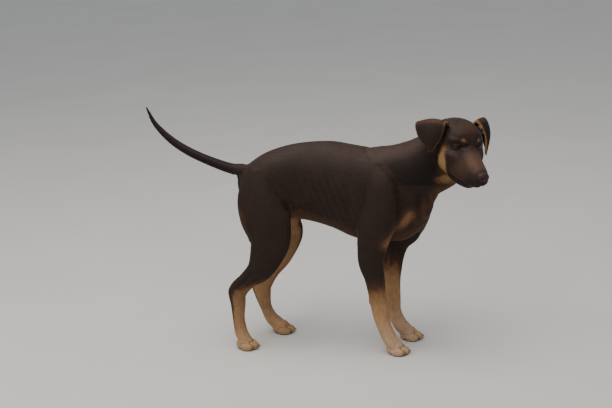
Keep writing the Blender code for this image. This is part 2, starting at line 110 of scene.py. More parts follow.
THIGH = np.array((
    (-0.086, 0.028, 0.388, 0.022, 0.040, 0.042),
    (-0.088, 0.040, 0.338, 0.027, 0.050, 0.059),
    (-0.085, 0.046, 0.292, 0.028, 0.054, 0.058),
    (-0.081, 0.050, 0.252, 0.025, 0.050, 0.046),
))
LEGS = {
    "right_fore": np.array((
        (0.150, -0.050, 0.270, 0.022, 0.034, 0.040),
        (0.138, -0.050, 0.208, 0.0175, 0.0260, 0.0300),
        (0.143, -0.049, 0.167, 0.0155, 0.0220, 0.0220),
        (0.148, -0.048, 0.127, 0.0145, 0.0190, 0.0190),
        (0.153, -0.047, 0.090, 0.0155, 0.0180, 0.0178),
        (0.160, -0.047, 0.062, 0.0145, 0.0160, 0.0165),
        (0.171, -0.047, 0.036, 0.0165, 0.0160, 0.0165),
        (0.179, -0.047, 0.020, 0.0170, 0.0150, 0.0140),
    )),
    "left_fore": np.array((
        (0.172, 0.047, 0.276, 0.024, 0.069, 0.058),
        (0.170, 0.049, 0.240, 0.022, 0.059, 0.046),
        (0.165, 0.049, 0.208, 0.0180, 0.0360, 0.0360),
        (0.163, 0.046, 0.167, 0.0155, 0.0255, 0.0230),
        (0.165, 0.043, 0.127, 0.0145, 0.0190, 0.0190),
        (0.166, 0.041, 0.090, 0.0155, 0.0180, 0.0178),
        (0.169, 0.039, 0.062, 0.0145, 0.0160, 0.0165),
        (0.180, 0.038, 0.036, 0.0165, 0.0160, 0.0165),
        (0.193, 0.037, 0.020, 0.0170, 0.0160, 0.0150),
    )),
    "right_hind": np.array((
        (-0.083, -0.054, 0.228, 0.0225, 0.0425, 0.0390),
        (-0.102, -0.055, 0.183, 0.0175, 0.0295, 0.0280),
        (-0.130, -0.055, 0.155, 0.0145, 0.0190, 0.0210),
        (-0.152, -0.055, 0.130, 0.0140, 0.0190, 0.0220),
        (-0.154, -0.055, 0.100, 0.0130, 0.0160, 0.0175),
        (-0.155, -0.055, 0.068, 0.0125, 0.0135, 0.0138),
        (-0.151, -0.055, 0.038, 0.0145, 0.0140, 0.0150),
        (-0.145, -0.055, 0.021, 0.0160, 0.0140, 0.0130),
    )),
    "left_hind": np.array((
        (-0.076, 0.052, 0.228, 0.0225, 0.0460, 0.0400),
        (-0.088, 0.051, 0.182, 0.0175, 0.0330, 0.0310),
        (-0.110, 0.049, 0.146, 0.0145, 0.0250, 0.0240),
        (-0.127, 0.048, 0.114, 0.0140, 0.0240, 0.0240),
        (-0.126, 0.047, 0.086, 0.0130, 0.0185, 0.0190),
        (-0.120, 0.046, 0.058, 0.0125, 0.0135, 0.0138),
        (-0.109, 0.045, 0.035, 0.0145, 0.0140, 0.0150),
        (-0.096, 0.045, 0.020, 0.0160, 0.0160, 0.0150),
    )),
}
# Each paw's front end on the floor, and the way it points, in degrees to the dog's left.
PAWS = {
    "right_fore": ((0.213, -0.050), -6),
    "left_fore": ((0.230, 0.038), 2),
    "right_hind": ((-0.114, -0.058), -6),
    "left_hind": ((-0.057, 0.046), 4),
}
TOE_SPACING = 0.0100
TOE_RADII = (0.0140, 0.0064, 0.0092)
TOE_HEIGHT = 0.0076
CLAW_RADIUS = 0.0021

# The head's own frame: its origin is between the eyes, +X runs towards the nose and +Y to the dog's left.
HEAD = np.array(
    Matrix.Translation((0.338, -0.035, 0.452))
    @ Matrix.Rotation(np.radians(-54), 4, "Z")
    @ Matrix.Rotation(np.radians(14), 4, "Y")
    @ Matrix.Rotation(np.radians(-7.5), 4, "X")
)
TO_HEAD = np.linalg.inv(HEAD)
# Upright sections of the head in its own frame, by the trunk's measures.
SKULL = np.array((
    (-0.088, 0.018, -0.002, -0.030, 0.024),
    (-0.070, 0.030, 0.002, -0.058, 0.040),
    (-0.045, 0.037, 0.000, -0.076, 0.047),
    (-0.020, 0.036, -0.008, -0.081, 0.048),
    (-0.002, 0.028, -0.022, -0.084, 0.0430),
    (0.012, 0.011, -0.032, -0.084, 0.0350),
    (0.024, -0.003, -0.037, -0.082, 0.0285),
    (0.040, -0.011, -0.040, -0.076, 0.0245),
    (0.056, -0.018, -0.043, -0.066, 0.0225),
    (0.067, -0.023, -0.044, -0.058, 0.0190),
    (0.073, -0.029, -0.044, -0.055, 0.0150),
))
# Balls of the head: centre and radii.
EAR_BASES = {
    "right": ((-0.047, -0.041, 0.022), (0.013, 0.010, 0.010)),
    "left": ((-0.035, 0.0405, 0.0180), (0.0145, 0.0095, 0.0130)),
}
CHEEK = ((-0.024, 0.029, -0.034), (0.028, 0.019, 0.030))
CHIN = ((0.050, 0, -0.0575), (0.019, 0.014, 0.0095))
EYE = np.array((-0.0056, 0.0242, -0.0040))
EYE_RADIUS = 0.0095
NOSE = np.array((0.0735, 0, -0.0355))
NOSE_RADII = np.array((0.0100, 0.0135, 0.0100))

# Each ear is a sheet through four rows, from its front edge to its back edge: root, fold, flap and tip.
EARS = {
    "right": np.array((
        ((-0.032, -0.029, 0.027), (-0.048, -0.038, 0.022), (-0.064, -0.037, 0.006)),
        ((-0.029, -0.045, 0.036), (-0.047, -0.068, 0.035), (-0.070, -0.086, 0.019)),
        ((-0.018, -0.053, 0.012), (-0.031, -0.075, 0.012), (-0.052, -0.088, -0.004)),
        ((-0.018, -0.068, -0.023), (-0.021, -0.072, -0.025), (-0.025, -0.074, -0.022)),
    )),
    "left": np.array((
        ((-0.031, 0.018, 0.027), (-0.050, 0.035, 0.022), (-0.066, 0.036, 0.006)),
        ((-0.032, 0.027, 0.0365), (-0.050, 0.059, 0.036), (-0.071, 0.066, 0.017)),
        ((-0.0235, 0.0485, 0.012), (-0.038, 0.073, 0.008), (-0.058, 0.069, -0.009)),
        ((-0.018, 0.060, -0.030), (-0.021, 0.065, -0.032), (-0.025, 0.067, -0.029)),
    )),
}
EAR_THICKNESS = 0.0036


class Coat(NamedTuple):
    """How the coat lies on one kind of region: its depth over the skin, how far the skin is eased there and
    how much of the shape is held, and a tuft's length, width and rise, with the share of the skin that the
    tufts cover."""

    depth: float
    ease: float
    hold: float
    length: float
    width: float
    rise: float
    cover: float


COATS = {
    "body": Coat(0.0012, 0.55, 0.00, 0.0100, 0.0014, 0.00030, 1.2),
    "neck": Coat(0.0014, 0.55, 0.00, 0.0110, 0.0015, 0.00034, 1.3),
    "limb": Coat(0.0009, 0.50, 0.90, 0.0070, 0.0011, 0.00028, 1.1),
    "tail": Coat(0.0012, 0.50, 1.00, 0.0090, 0.0012, 0.00034, 1.3),
    "head": Coat(0.0006, 0.45, 0.90, 0.0044, 0.0008, 0.00020, 1.0),
    "paw": Coat(0.0005, 0.26, 1.00, 0.0038, 0.0008, 0.00022, 1.0),
    "ear": Coat(0.0006, 0.50, 1.00, 0.0040, 0.0009, 0.00020, 1.1),
}
DEPTH, EASE, HOLD, LENGTH, WIDTH, RISE, COVER = range(7)


# ---------------------------------------------------------------- curves, sections and lofts


def curve(rows, places):
    """Rows read at fractional places: between p1 and p2 the Catmull-Rom curve is
    p1 + ((p2 - p0) t + (2 p0 - 5 p1 + 4 p2 - p3) t^2 + (3 p1 - p0 - 3 p2 + p3) t^3) / 2."""
    padded = np.concatenate((2 * rows[:1] - rows[1:2], rows, 2 * rows[-1:] - rows[-2:-1]))
    i = np.minimum(places.astype(int), len(rows) - 2)
    t = (places - i).reshape(-1, *[1] * (rows.ndim - 1))
    p0, p1, p2, p3 = (padded[i + k] for k in range(4))
    bend, twist = 2 * p0 - 5 * p1 + 4 * p2 - p3, 3 * p1 - p0 - 3 * p2 + p3
    return p1 + ((p2 - p0) * t + bend * t**2 + twist * t**3) / 2


def even(rows, step=STEP):
    """Rows read again about one step apart: each span between rows is cut into equal parts."""
    lengths = np.linalg.norm(np.diff(rows[:, :3], axis=0), axis=1)
    counts = np.maximum(2, np.round(lengths / step)).astype(int)
    places = [i + np.arange(n) / n for i, n in enumerate(counts)]
    return curve(rows, np.concatenate((*places, [len(rows) - 1])))


def unit(vectors):
    """Each vector divided by its length."""
    return vectors / np.maximum(np.linalg.norm(vectors, axis=-1, keepdims=True), 1e-12)


def placed(points, matrix):
    """Points through a 4x4 matrix."""
    return points @ matrix[:3, :3].T + matrix[:3, 3]


def smooth_step(low, high, value):
    """0 at low, 1 at high, and 3 t^2 - 2 t^3 between."""
    t = np.clip((value - low) / (high - low), 0, 1)
    return t * t * (3 - 2 * t)


def fold(points):
    """Points with y turned to its distance from the middle plane, so that one side serves for both."""
    return np.column_stack((points[:, 0], np.abs(points[:, 1]), points[:, 2]))


class Form(NamedTuple):
    """A row of sections: centres, the directions across, ahead and along, the reach to the side, ahead and
    behind, the way the coat lies, and the kind of coat."""

    name: str
    kind: str
    centre: np.ndarray
    across: np.ndarray
    ahead: np.ndarray
    along: np.ndarray
    reach: np.ndarray
    lie: np.ndarray


def upright_form(name, kind, rows, lie, matrix=np.eye(4)):
    """Sections that stand upright across X."""
    rows = even(np.column_stack((rows[:, 0], rows[:, 0] * 0, rows[:, 2], rows[:, [1, 3, 4]])))
    centre = placed(rows[:, :3], matrix)
    reach = np.column_stack((rows[:, 5], rows[:, 3] - rows[:, 2], rows[:, 2] - rows[:, 4]))
    turn = [np.tile(matrix[:3, :3] @ way, (len(rows), 1)) for way in (Y, Z, X, unit(np.array(lie)))]
    return Form(name, kind, centre, turn[0], turn[1], turn[2], reach, turn[3])


def limb_form(name, kind, rows, lie=1, matrix=np.eye(4)):
    """Sections square to a path. Ahead is above a path that runs forwards. The coat lies along the path."""
    rows = even(rows)
    along = unit(np.gradient(rows[:, :3], axis=0))
    ahead = unit(np.cross(along, Y))
    across = np.cross(ahead, along)
    turned = [way @ matrix[:3, :3].T for way in (across, ahead, along)]
    return Form(name, kind, placed(rows[:, :3], matrix), *turned, rows[:, 3:6], lie * turned[2])


def rings(form, sides):
    """Half-ellipses ahead and behind: centre + side cos(a) across + (ahead or behind) sin(a) ahead."""
    a = np.linspace(0, 2 * PI, sides, endpoint=False)[None, :, None]
    side, front, back = (form.reach[:, k, None, None] for k in range(3))
    reach = np.where(np.sin(a) > 0, front, back) * np.sin(a)
    return form.centre[:, None] + side * np.cos(a) * form.across[:, None] + reach * form.ahead[:, None]


def domed(grid):
    """The grid of rings with both ends rounded off: each end ring shrinks as cos(t) while its centre moves
    out by sin(t) of three fifths of its least reach."""
    ends = []
    for ring, inner in ((grid[0], grid[1]), (grid[-1], grid[-2])):
        centre = ring.mean(0)
        out = unit(centre - inner.mean(0)) * 0.6 * np.linalg.norm(ring - centre, axis=1).min()
        t = np.radians(np.arange(15, 90, 15))[:, None, None]
        ends.append(centre + (ring - centre) * np.cos(t) + out * np.sin(t))
    return np.concatenate((ends[0][::-1], grid, ends[1]))


def ball(centre, radii, matrix=np.eye(4), sides=32):
    """Rings of an ellipsoid: radii times (cos b, sin b cos a, sin b sin a) about its centre."""
    b = np.linspace(0.05, PI - 0.05, sides // 2)[:, None]
    a = np.linspace(0, 2 * PI, sides, endpoint=False)[None, :]
    shape = np.stack((np.cos(b) + 0 * a, np.sin(b) * np.cos(a), np.sin(b) * np.sin(a)), -1)
    return placed(np.array(centre) + np.array(radii) * shape, matrix)


def tube_faces(rows, columns):
    """Quads between neighbouring rings, and fans of triangles at the ends, to centre points that follow."""
    i, j = np.meshgrid(np.arange(rows - 1), np.arange(columns), indexing="ij")
    here, there = i * columns + j, i * columns + (j + 1) % columns
    quads = np.stack((here, there, there + columns, here + columns), -1).reshape(-1, 4)
    j = np.arange(columns)
    k = (j + 1) % columns
    first, last = rows * columns, rows * columns + 1
    low = np.stack((k, j, np.full(columns, first)), -1)
    high = np.stack((j, k, np.full(columns, last)), -1) + (np.array((1, 1, 0)) * (rows - 1) * columns)
    return quads, np.concatenate((low, high))


def joined_tubes(grids):
    """Points and faces of many closed tubes as one mesh."""
    points, faces, offset = [], [], 0
    for grid in grids:
        points += [grid.reshape(-1, 3), grid[0].mean(0)[None], grid[-1].mean(0)[None]]
        quads, fans = tube_faces(*grid.shape[:2])
        faces += (quads + offset).tolist() + (fans + offset).tolist()
        offset += grid.shape[0] * grid.shape[1] + 2
    return np.concatenate(points), faces


def new_object(name, points, faces):
    """A smooth-shaded mesh object at the origin, with its faces pointing out."""
    mesh = bpy.data.meshes.new(name)
    mesh.from_pydata(points.tolist(), [], faces)
    bm = bmesh.new()
    bm.from_mesh(mesh)
    bmesh.ops.recalc_face_normals(bm, faces=bm.faces)
    bm.to_mesh(mesh)
    bm.free()
    mesh.shade_smooth()
    obj = bpy.data.objects.new(name, mesh)
    bpy.context.scene.collection.objects.link(obj)
    return obj


def settle(obj):
    """The object with its modifiers worked out into its mesh."""
    depsgraph = bpy.context.evaluated_depsgraph_get()
    mesh = bpy.data.meshes.new_from_object(obj.evaluated_get(depsgraph))
    obj.modifiers.clear()
    old, obj.data = obj.data, mesh
    bpy.data.meshes.remove(old)


def read_points(mesh):
    """The points of a mesh as rows of x, y, z."""
    points = np.empty(len(mesh.vertices) * 3, np.float32)
    mesh.vertices.foreach_get("co", points)
    return points.reshape(-1, 3).astype(float)


def write_points(mesh, points):
    """New places for the points of a mesh."""
    mesh.vertices.foreach_set("co", points.astype(np.float32).ravel())
    mesh.update()


def read_normals(mesh):
    """The normal at each point of a mesh."""
    normals = np.empty(len(mesh.vertices) * 3, np.float32)
    mesh.vertex_normals.foreach_get("vector", normals)
    return normals.reshape(-1, 3).astype(float)


def read_edges(mesh):
    """The two point numbers of each edge."""
    edges = np.empty(len(mesh.edges) * 2, np.int32)
    mesh.edges.foreach_get("vertices", edges)
    return edges.reshape(-1, 2)


def eased(points, edges, weight, hold, rounds):
    """Each round moves a point by its weight towards the mean of its neighbours, and then away from it by
    1.05 times the held share of that weight, which keeps thin parts from shrinking."""
    a, b = edges.T
    count = np.bincount(edges.ravel(), minlength=len(points))
    for _ in range(rounds):
        for share in (weight, -1.05 * hold * weight):
            for k in range(3):
                column = points[:, k]
                total = np.bincount(a, column[b], len(points)) + np.bincount(b, column[a], len(points))
                points[:, k] = column + share * (total / count - column)
    return points


# ---------------------------------------------------------------- the dog's forms


def paw_frame(name):
    """A paw's frame: its origin on the floor at its front end, +X ahead."""
    (x, y), turn = PAWS[name]
    return np.array(Matrix.Translation((x, y, 0)) @ Matrix.Rotation(np.radians(turn), 4, "Z"))


def toe_places():
    """The middles of the four toes in a paw's frame. The outer two stand back."""
    i = np.array((-1.5, -0.5, 0.5, 1.5))
    back = np.where(np.abs(i) > 1, 0.0085, 0)
    return np.column_stack((-TOE_RADII[0] - back, TOE_SPACING * i, np.full(4, TOE_HEIGHT)))


def mirrored(rows, side):
    """Limb sections for one side of the body, from those of the left."""
    rows = rows.copy()
    rows[:, 1] *= side
    return rows


def ear_sheet(rows, count_along, count_across):
    """Points of an ear: a Catmull-Rom curve along each row, and then another from row to row."""
    across = np.stack([curve(row, np.linspace(0, 2, count_across)) for row in rows])
    return curve(across, np.linspace(0, 3, count_along))


def sheet_normals(sheet):
    """The cross product of the sheet's two directions."""
    return unit(np.cross(np.gradient(sheet, axis=1), np.gradient(sheet, axis=0)))


def ear_rings(rows):
    """A closed ring round each line of the ear: out along the outer side, back along the inner side. The
    thickness swells towards the root and thins a little at the edges."""
    sheet = ear_sheet(rows, 44, 40)
    normals = sheet_normals(sheet)
    u = np.linspace(0, 1, 44)[:, None, None]
    v = np.linspace(-1, 1, 40)[None, :, None]
    half = EAR_THICKNESS / 2 * (1 + 0.9 * (1 - u) ** 3) * (1 - 0.12 * v**8)
    return np.concatenate((sheet + normals * half, (sheet - normals * half)[:, ::-1]), 1)


FORMS = [
    upright_form("trunk", "body", TRUNK, (-1, 0, -0.28)),
    limb_form("neck", "neck", NECK, -1),
    limb_form("tail", "tail", TAIL),
    upright_form("skull", "head", SKULL, (-1, 0, -0.10), HEAD),
]


def limb_rows(name):
    """A limb's sections from the trunk to the paw, the upper ones mirrored for a limb of the right."""
    upper = SHOULDER if name.endswith("fore") else THIGH
    return np.concatenate((mirrored(upper, -1 if name.startswith("right") else 1), LEGS[name]))


def upper_name(name):
    """The region above a leg."""
    word, end = name.split("_")
    return f"{word}_shoulder" if end == "fore" else f"{word}_thigh"


def span(form, name, kind, top, bottom):
    """The sections of a form between two heights, under a name of their own."""
    own = (form.centre[:, 2] <= top) & (form.centre[:, 2] > bottom)
    return Form(name, kind, *(part[own] for part in form[2:]))


LIMBS = {name: limb_form(name, "limb", limb_rows(name)) for name in LEGS}
for _name, _limb in LIMBS.items():
    FORMS.append(span(_limb, upper_name(_name), "body", 1.0, 0.235))
    FORMS.append(span(_limb, f"{_name}_leg", "limb", 0.235, 0.030))


def paw_form(name):
    """Stations through a paw from its wrist to the ends of its toes, for the way its coat lies."""
    rows = np.array((
        (-0.046, 0, 0.026, 0.017, 0.016, 0.016),
        (-0.030, 0, 0.018, 0.018, 0.014, 0.014),
        (-0.010, 0, 0.009, 0.018, 0.009, 0.009),
    ))
    return limb_form(f"{name}_paw", "paw", rows, 1, paw_frame(name))


FORMS += [paw_form(_name) for _name in PAWS]


def skin_grids():
    """Every closed tube that the skin is joined from."""
    grids = [domed(rings(form, BODY_SIDES)) for form in (*FORMS[:4], limb_form("breast", "neck", BREAST))]
    for name, limb in LIMBS.items():
        grids.append(domed(rings(limb, LIMB_SIDES)))
        matrix = paw_frame(name)
        grids += [ball(place, TOE_RADII, matrix) for place in toe_places()]
        grids.append(ball((-0.034, 0, 0.0105), (0.0160, 0.0165, 0.0125), matrix))
        grids.append(ball((-0.030, 0, 0.0170), (0.0170, 0.0175, 0.0125), matrix))
    for side, word in zip(BOTH, ("right", "left")):
        centre, radii = CHEEK
        grids.append(ball(np.array(centre) * (1, side, 1), radii, HEAD))
        grids.append(ball(*EAR_BASES[word], HEAD))
        grids.append(placed(ear_rings(EARS[word]), HEAD))
    grids.append(ball(*CHIN, HEAD))
    return grids


# ---------------------------------------------------------------- where a point lies on the dog


class Stations(NamedTuple):
    """All sections and ear points as one table: a point belongs to the station whose centre is nearest,
    measured in the station's own size."""

    region: np.ndarray
    centre: np.ndarray
    across: np.ndarray
    ahead: np.ndarray
    along: np.ndarray
    size: np.ndarray
    length: np.ndarray
    lie: np.ndarray
    coat: np.ndarray
    sheet: np.ndarray


def form_table(region, form):
    """One form's stations, with the length run so far."""
    steps = np.linalg.norm(np.diff(form.centre, axis=0), axis=1)
    length = np.concatenate(([0], np.cumsum(steps)))[::2]
    centre, across, ahead, along, reach, lie = (part[::2] for part in form[2:])
    n = len(centre)
    coat = np.tile(COATS[form.kind], (n, 1))
    return np.full(n, region), centre, across, ahead, along, reach.mean(1), length, lie, coat, np.zeros(n)


def ear_table(region, rows):
    """An ear's sheet as stations, each the size of the sheet's thickness. Its place across is in `sheet`."""
    sheet = placed(ear_sheet(rows, 26, 16), HEAD)
    down = np.gradient(sheet, axis=0)
    over = np.gradient(sheet, axis=1)
    normal = unit(np.cross(over, down))
    length = np.cumsum(np.linalg.norm(down, axis=-1), 0)
    width = np.cumsum(np.linalg.norm(over, axis=-1), 1)
    n = sheet.shape[0] * sheet.shape[1]
    flat = [part.reshape(n, 3) for part in (sheet, unit(over), normal, unit(down))]
    return (np.full(n, region), *flat, np.full(n, 0.0034), length.ravel(), flat[3],
            np.tile(COATS["ear"], (n, 1)), width.ravel())


REGIONS = [form.name for form in FORMS] + ["right_ear", "left_ear"]
STATIONS = Stations(*(
    np.concatenate(column).astype(np.float32) for column in zip(
        *(form_table(i, form) for i, form in enumerate(FORMS)),
        ear_table(len(FORMS), EARS["right"]),
        ear_table(len(FORMS) + 1, EARS["left"]),
    )
))
CHUNK = 3000
EAR_WIDTH = 0.075


class Place(NamedTuple):
    """Where points lie: their region, their length along it and round it, their angle, the blended lie of the
    coat and the blended coat values."""

    region: np.ndarray
    length: np.ndarray
    around: np.ndarray
    angle: np.ndarray
    lie: np.ndarray
    coat: np.ndarray


def find_places(points):
    """Distances are divided by the stations' sizes. The nearest station gives the region, and all stations
    weighted by exp(-(distance - least) / 0.09) give the lie and the coat. Each run of points is measured only
    against the stations that can matter to it: its middle and its reach bound every distance."""
    parts = []
    points = points.astype(np.float32)
    for start in range(0, len(points), CHUNK):
        p = points[start : start + CHUNK]
        middle = p.mean(0)
        reach = np.linalg.norm(p - middle, axis=1).max()
        gap = np.linalg.norm(STATIONS.centre - middle, axis=1)
        near = (gap - reach) / STATIONS.size <= ((gap + reach) / STATIONS.size).min() + 0.6
        s = Stations(*(column[near] for column in STATIONS))
        square = (p**2).sum(1)[:, None] + (s.centre**2).sum(1) - 2 * p @ s.centre.T
        distance = np.sqrt(np.maximum(square, 1e-12)) / s.size
        k = distance.argmin(1)
        weight = np.exp((distance.min(1)[:, None] - distance) / 0.09)
        weight /= weight.sum(1)[:, None]
        away = p - s.centre[k]
        x, y = (away * s.across[k]).sum(1), (away * s.ahead[k]).sum(1)
        flat = s.sheet[k] > 0
        angle = np.arctan2(x, y)
        around = np.where(flat, s.sheet[k] + x + EAR_WIDTH * (y > 0), angle * s.size[k])
        length = s.length[k] + (away * s.along[k]).sum(1)
        parts.append((s.region[k].astype(int), length, around, angle, weight @ s.lie, weight @ s.coat))
    return Place(*(np.concatenate(column) for column in zip(*parts)))


def swell(points, centre, radii):
    """exp(-d^2), with d the distance from the centre measured in radii."""
    return np.exp(-(((points - np.array(centre)) / radii) ** 2).sum(1))


def near_line(points, route, width):
    """exp(-(d / width)^2), with d the distance from the curve through the route's points."""
    line = curve(np.array(route, float), np.linspace(0, len(route) - 1, 12 * len(route)))
    weight = np.zeros(len(points))
    reach = 4 * width
    inside = ((points > line.min(0) - reach) & (points < line.max(0) + reach)).all(1)
    away = points[inside][:, None] - line[None]
    weight[inside] = np.exp(-((away**2).sum(-1).min(1)) / width**2)
    return weight


# ---------------------------------------------------------------- muscles, folds, lids and lips

# Rises and hollows of both sides: centre, radii, height along the skin's normal.
RELIEF = (
    ((0.118, 0.056, 0.247), (0.013, 0.016, 0.013), 0.0022),
    ((0.193, 0.048, 0.300), (0.018, 0.022, 0.020), 0.0016),
    ((0.100, 0.058, 0.335), (0.014, 0.030, 0.050), -0.0022),
    ((0.148, 0.036, 0.418), (0.020, 0.014, 0.014), 0.0016),
    ((-0.018, 0.048, 0.350), (0.026, 0.030, 0.034), -0.0022),
    ((-0.070, 0.040, 0.412), (0.016, 0.016, 0.012), 0.0014),
    ((-0.112, 0.058, 0.300), (0.010, 0.026, 0.045), -0.0014),
    ((-0.048, 0.060, 0.245), (0.016, 0.020, 0.016), 0.0016),
)
# Ridges and creases of both sides: a route, its half width, and its height.
LINES = (
    (((0.150, 0.040, 0.425), (0.166, 0.056, 0.375), (0.182, 0.060, 0.325)), 0.011, 0.0014),
    (((0.196, 0.050, 0.420), (0.205, 0.052, 0.360), (0.212, 0.046, 0.312)), 0.014, -0.0018),
    (
        ((0.288, 0.014, 0.364), (0.257, 0.016, 0.335), (0.235, 0.036, 0.311), (0.226, 0.038, 0.287)),
        0.007, -0.0013,
    ),
    (((0.222, 0.040, 0.300), (0.205, 0.042, 0.270), (0.186, 0.036, 0.242)), 0.012, 0.0012),
    (((-0.044, 0.054, 0.292), (-0.022, 0.046, 0.312), (0.006, 0.046, 0.334)), 0.010, 0.0032),
)


def add_body_relief(points, normals):
    """Rises along the normals. The ribs are a sine wave in x + 0.35 z over the side of the chest."""
    height = np.zeros(len(points))
    folded = fold(points)
    for centre, radii, rise in RELIEF:
        height += rise * swell(folded, centre, radii)
    for route, width, rise in LINES:
        height += rise * near_line(folded, route, width)
    side = smooth_step(0.030, 0.050, folded[:, 1]) * swell(points, (0.055, 0, 0.335), (0.048, 1, 0.050))
    height += 0.00045 * side * np.sin(2 * PI * (points[:, 0] + 0.35 * points[:, 2]) / 0.0165)
    return points + normals * height[:, None]


def add_leg_relief(points, normals):
    """Grooves before each heel tendon, and a knob at the back of each wrist."""
    height = np.zeros(len(points))
    for name in ("right_hind", "left_hind"):
        rows = curve(LEGS[name], np.array((1.2, 2.0, 2.7)))
        for side in BOTH:
            route = rows[:, :3] + np.outer(rows[:, 5] * 0.30, -X) + np.outer(rows[:, 3] * side * 0.95, Y)
            height -= 0.0030 * near_line(points, route, 0.0050)
        heel = curve(LEGS[name], np.array((3.1,)))[0]
        height += 0.0012 * swell(points, heel[:3] - (heel[5], 0, -0.004), (0.008, 0.010, 0.010))
    for name in ("right_fore", "left_fore"):
        wrist = curve(LEGS[name], np.array((3.3,)))[0]
        height += 0.0022 * swell(points, wrist[:3] - (wrist[5], 0, 0), (0.008, 0.009, 0.007))
        height += 0.0008 * swell(points, wrist[:3] + (wrist[4], 0, 0.002), (0.008, 0.016, 0.010))
    return points + normals * height[:, None]


# The tilt of an eye towards its inner corner, the ball that the lids lie on, and the almond between them.
EYE_TILT = np.radians(7)
LID_RADIUS = 0.0104
LID_REACH = np.radians(58)
LID_INNER_REACH = np.radians(64)
LID_UPPER = np.radians(29)
LID_LOWER = np.radians(20)
RIM_BALL = 0.00995
RIM_RADIUS = 0.00062
# Rises and hollows of both sides of the face, in the head's frame: centre, radii, height.
FACE_RELIEF = (
    ((-0.002, 0.0215, 0.0190), (0.014, 0.012, 0.009), 0.0014),
    ((0.034, 0.0000, -0.0745), (0.011, 0.015, 0.009), 0.0015),
    ((0.058, 0.0200, -0.0500), (0.014, 0.012, 0.010), 0.0014),
    ((0.020, 0.0230, -0.0200), (0.012, 0.010, 0.008), -0.0012),
    ((-0.028, 0.0400, 0.0120), (0.016, 0.016, 0.012), -0.0016),
    ((-0.004, 0.0430, -0.0240), (0.020, 0.014, 0.010), 0.0016),
)
# The line of the lips from under the nose to the corner.
MOUTH = (
    (0.0735, 0.0000, -0.0490), (0.0715, 0.0070, -0.0545), (0.0625, 0.0125, -0.0600),
    (0.0462, 0.0168, -0.0632), (0.0300, 0.0205, -0.0648), (0.0204, 0.0236, -0.0640),
    (0.0090, 0.0290, -0.0600),
)


# The groove under the nose, the furrow of the forehead and the fold under each eye: route, half width, depth.
FACE_FURROWS = (
    (((0.078, 0, -0.044), (0.0765, 0, -0.047), (0.0735, 0, -0.051)), 0.0012, 0.0012),
    (((0.016, 0, 0.006), (-0.006, 0, 0.026), (-0.035, 0, 0.037)), 0.006, 0.0010),
    (((0.0000, 0.0400, -0.0110), (0.0100, 0.0300, -0.0170), (0.0190, 0.0190, -0.0130)), 0.0026, 0.0007),
)


def eye_frame(side):
    """The eye's centre, its gaze, the way to its inner corner and the way up, in the head's frame."""
    gaze = unit(np.array((0.87, 0.47 * side, 0.05)))
    up = unit(Z - gaze * (gaze @ Z))
    inner = side * np.cross(gaze, up)
    turn = np.cos(EYE_TILT) * inner + np.sin(EYE_TILT) * up
    return EYE * (1, side, 1), gaze, turn, np.cross(turn, gaze) * -side


def lid_edges(a):
    """Height of the upper and lower lid over the eye's middle line, in radians, at an angle along it. The
    almond reaches further towards its inner corner."""
    shape = 1 - np.abs(a / np.where(a > 0, LID_INNER_REACH, LID_REACH)) ** 2.1
    return LID_UPPER * shape, -LID_LOWER * shape


def lid_angles(points, side):
    """Distance from the eye's centre, direction from it, and the angle outside the almond: negative inside
    it, straight up or down from a lid edge, and measured from the corner beyond a corner."""
    centre, gaze, inner, up = eye_frame(side)
    away = points - centre
    v = unit(away)
    a = np.arctan2(v @ inner, v @ gaze)
    e = np.arcsin(np.clip(v @ up, -1, 1))
    within = np.clip(a, -LID_REACH, LID_INNER_REACH)
    top, low = lid_edges(within)
    outside = np.maximum(e - top, low - e)
    outside = np.where(a == within, outside, np.hypot(outside, a - within))
    return np.linalg.norm(away, axis=1), v, np.where(v @ gaze < -0.2, 3.0, outside)


def shape_lids(points):
    """Near an eye the skin is drawn on to a ball just larger than the eye, and inside the almond between the
    lid edges it dips under the eye. The draw fades out with the angle from the almond and with distance."""
    for side in BOTH:
        centre = eye_frame(side)[0]
        close = np.linalg.norm(points - centre, axis=1) < 0.030
        reach, v, outside = lid_angles(points[close], side)
        lid = LID_RADIUS + 0.0007 * smooth_step(0.0, 0.13, outside)
        lid -= 0.0011 * smooth_step(0.20, 0.33, outside)
        lid += 0.0010 * smooth_step(0.36, 0.60, outside)
        target = lid - 0.0028 * smooth_step(0.0, -0.09, outside)
        pull = 1 - smooth_step(0.20, 0.85, outside)
        pull *= 1 - smooth_step(0.0160, 0.0260, reach) * smooth_step(0.10, 0.40, outside)
        points[close] = centre + v * (reach + (target - reach) * pull)[:, None]
    return points


def around_eyes(points):
    """1 over the skin round the eyes and 0 at the lids' edges and further than 27 mm away."""
    share = np.zeros(len(points))
    for side in BOTH:
        close = np.linalg.norm(points - eye_frame(side)[0], axis=1) < 0.027
        reach, _, outside = lid_angles(points[close], side)
        share[close] = smooth_step(0.06, 0.22, outside) * (1 - smooth_step(0.018, 0.027, reach))
    return share


def shape_face(points, normals):
    """In the head's frame: rises, lips and furrows along the normals."""
    folded = fold(points)
    height = np.zeros(len(points))
    for centre, radii, rise in FACE_RELIEF:
        height += rise * swell(folded, centre, radii)
    height -= 0.0028 * near_line(folded, MOUTH, 0.0015)
    height += 0.0011 * near_line(folded, np.array(MOUTH) + (0, 0.001, 0.0036), 0.0026)
    for route, width, fall in FACE_FURROWS:
        height -= fall * near_line(folded, route, width)
    return points + normals * height[:, None]


def hollow_orbits(points):
    """The skin before each eye moves back along the gaze, most at the middle of the orbit."""
    for side in BOTH:
        centre, gaze, inner, _ = eye_frame(side)
        middle = centre + 0.0125 * gaze + 0.0020 * inner
        points -= 0.0050 * np.outer(swell(points, middle, (0.0140, 0.0125, 0.0115)), gaze)
    return points


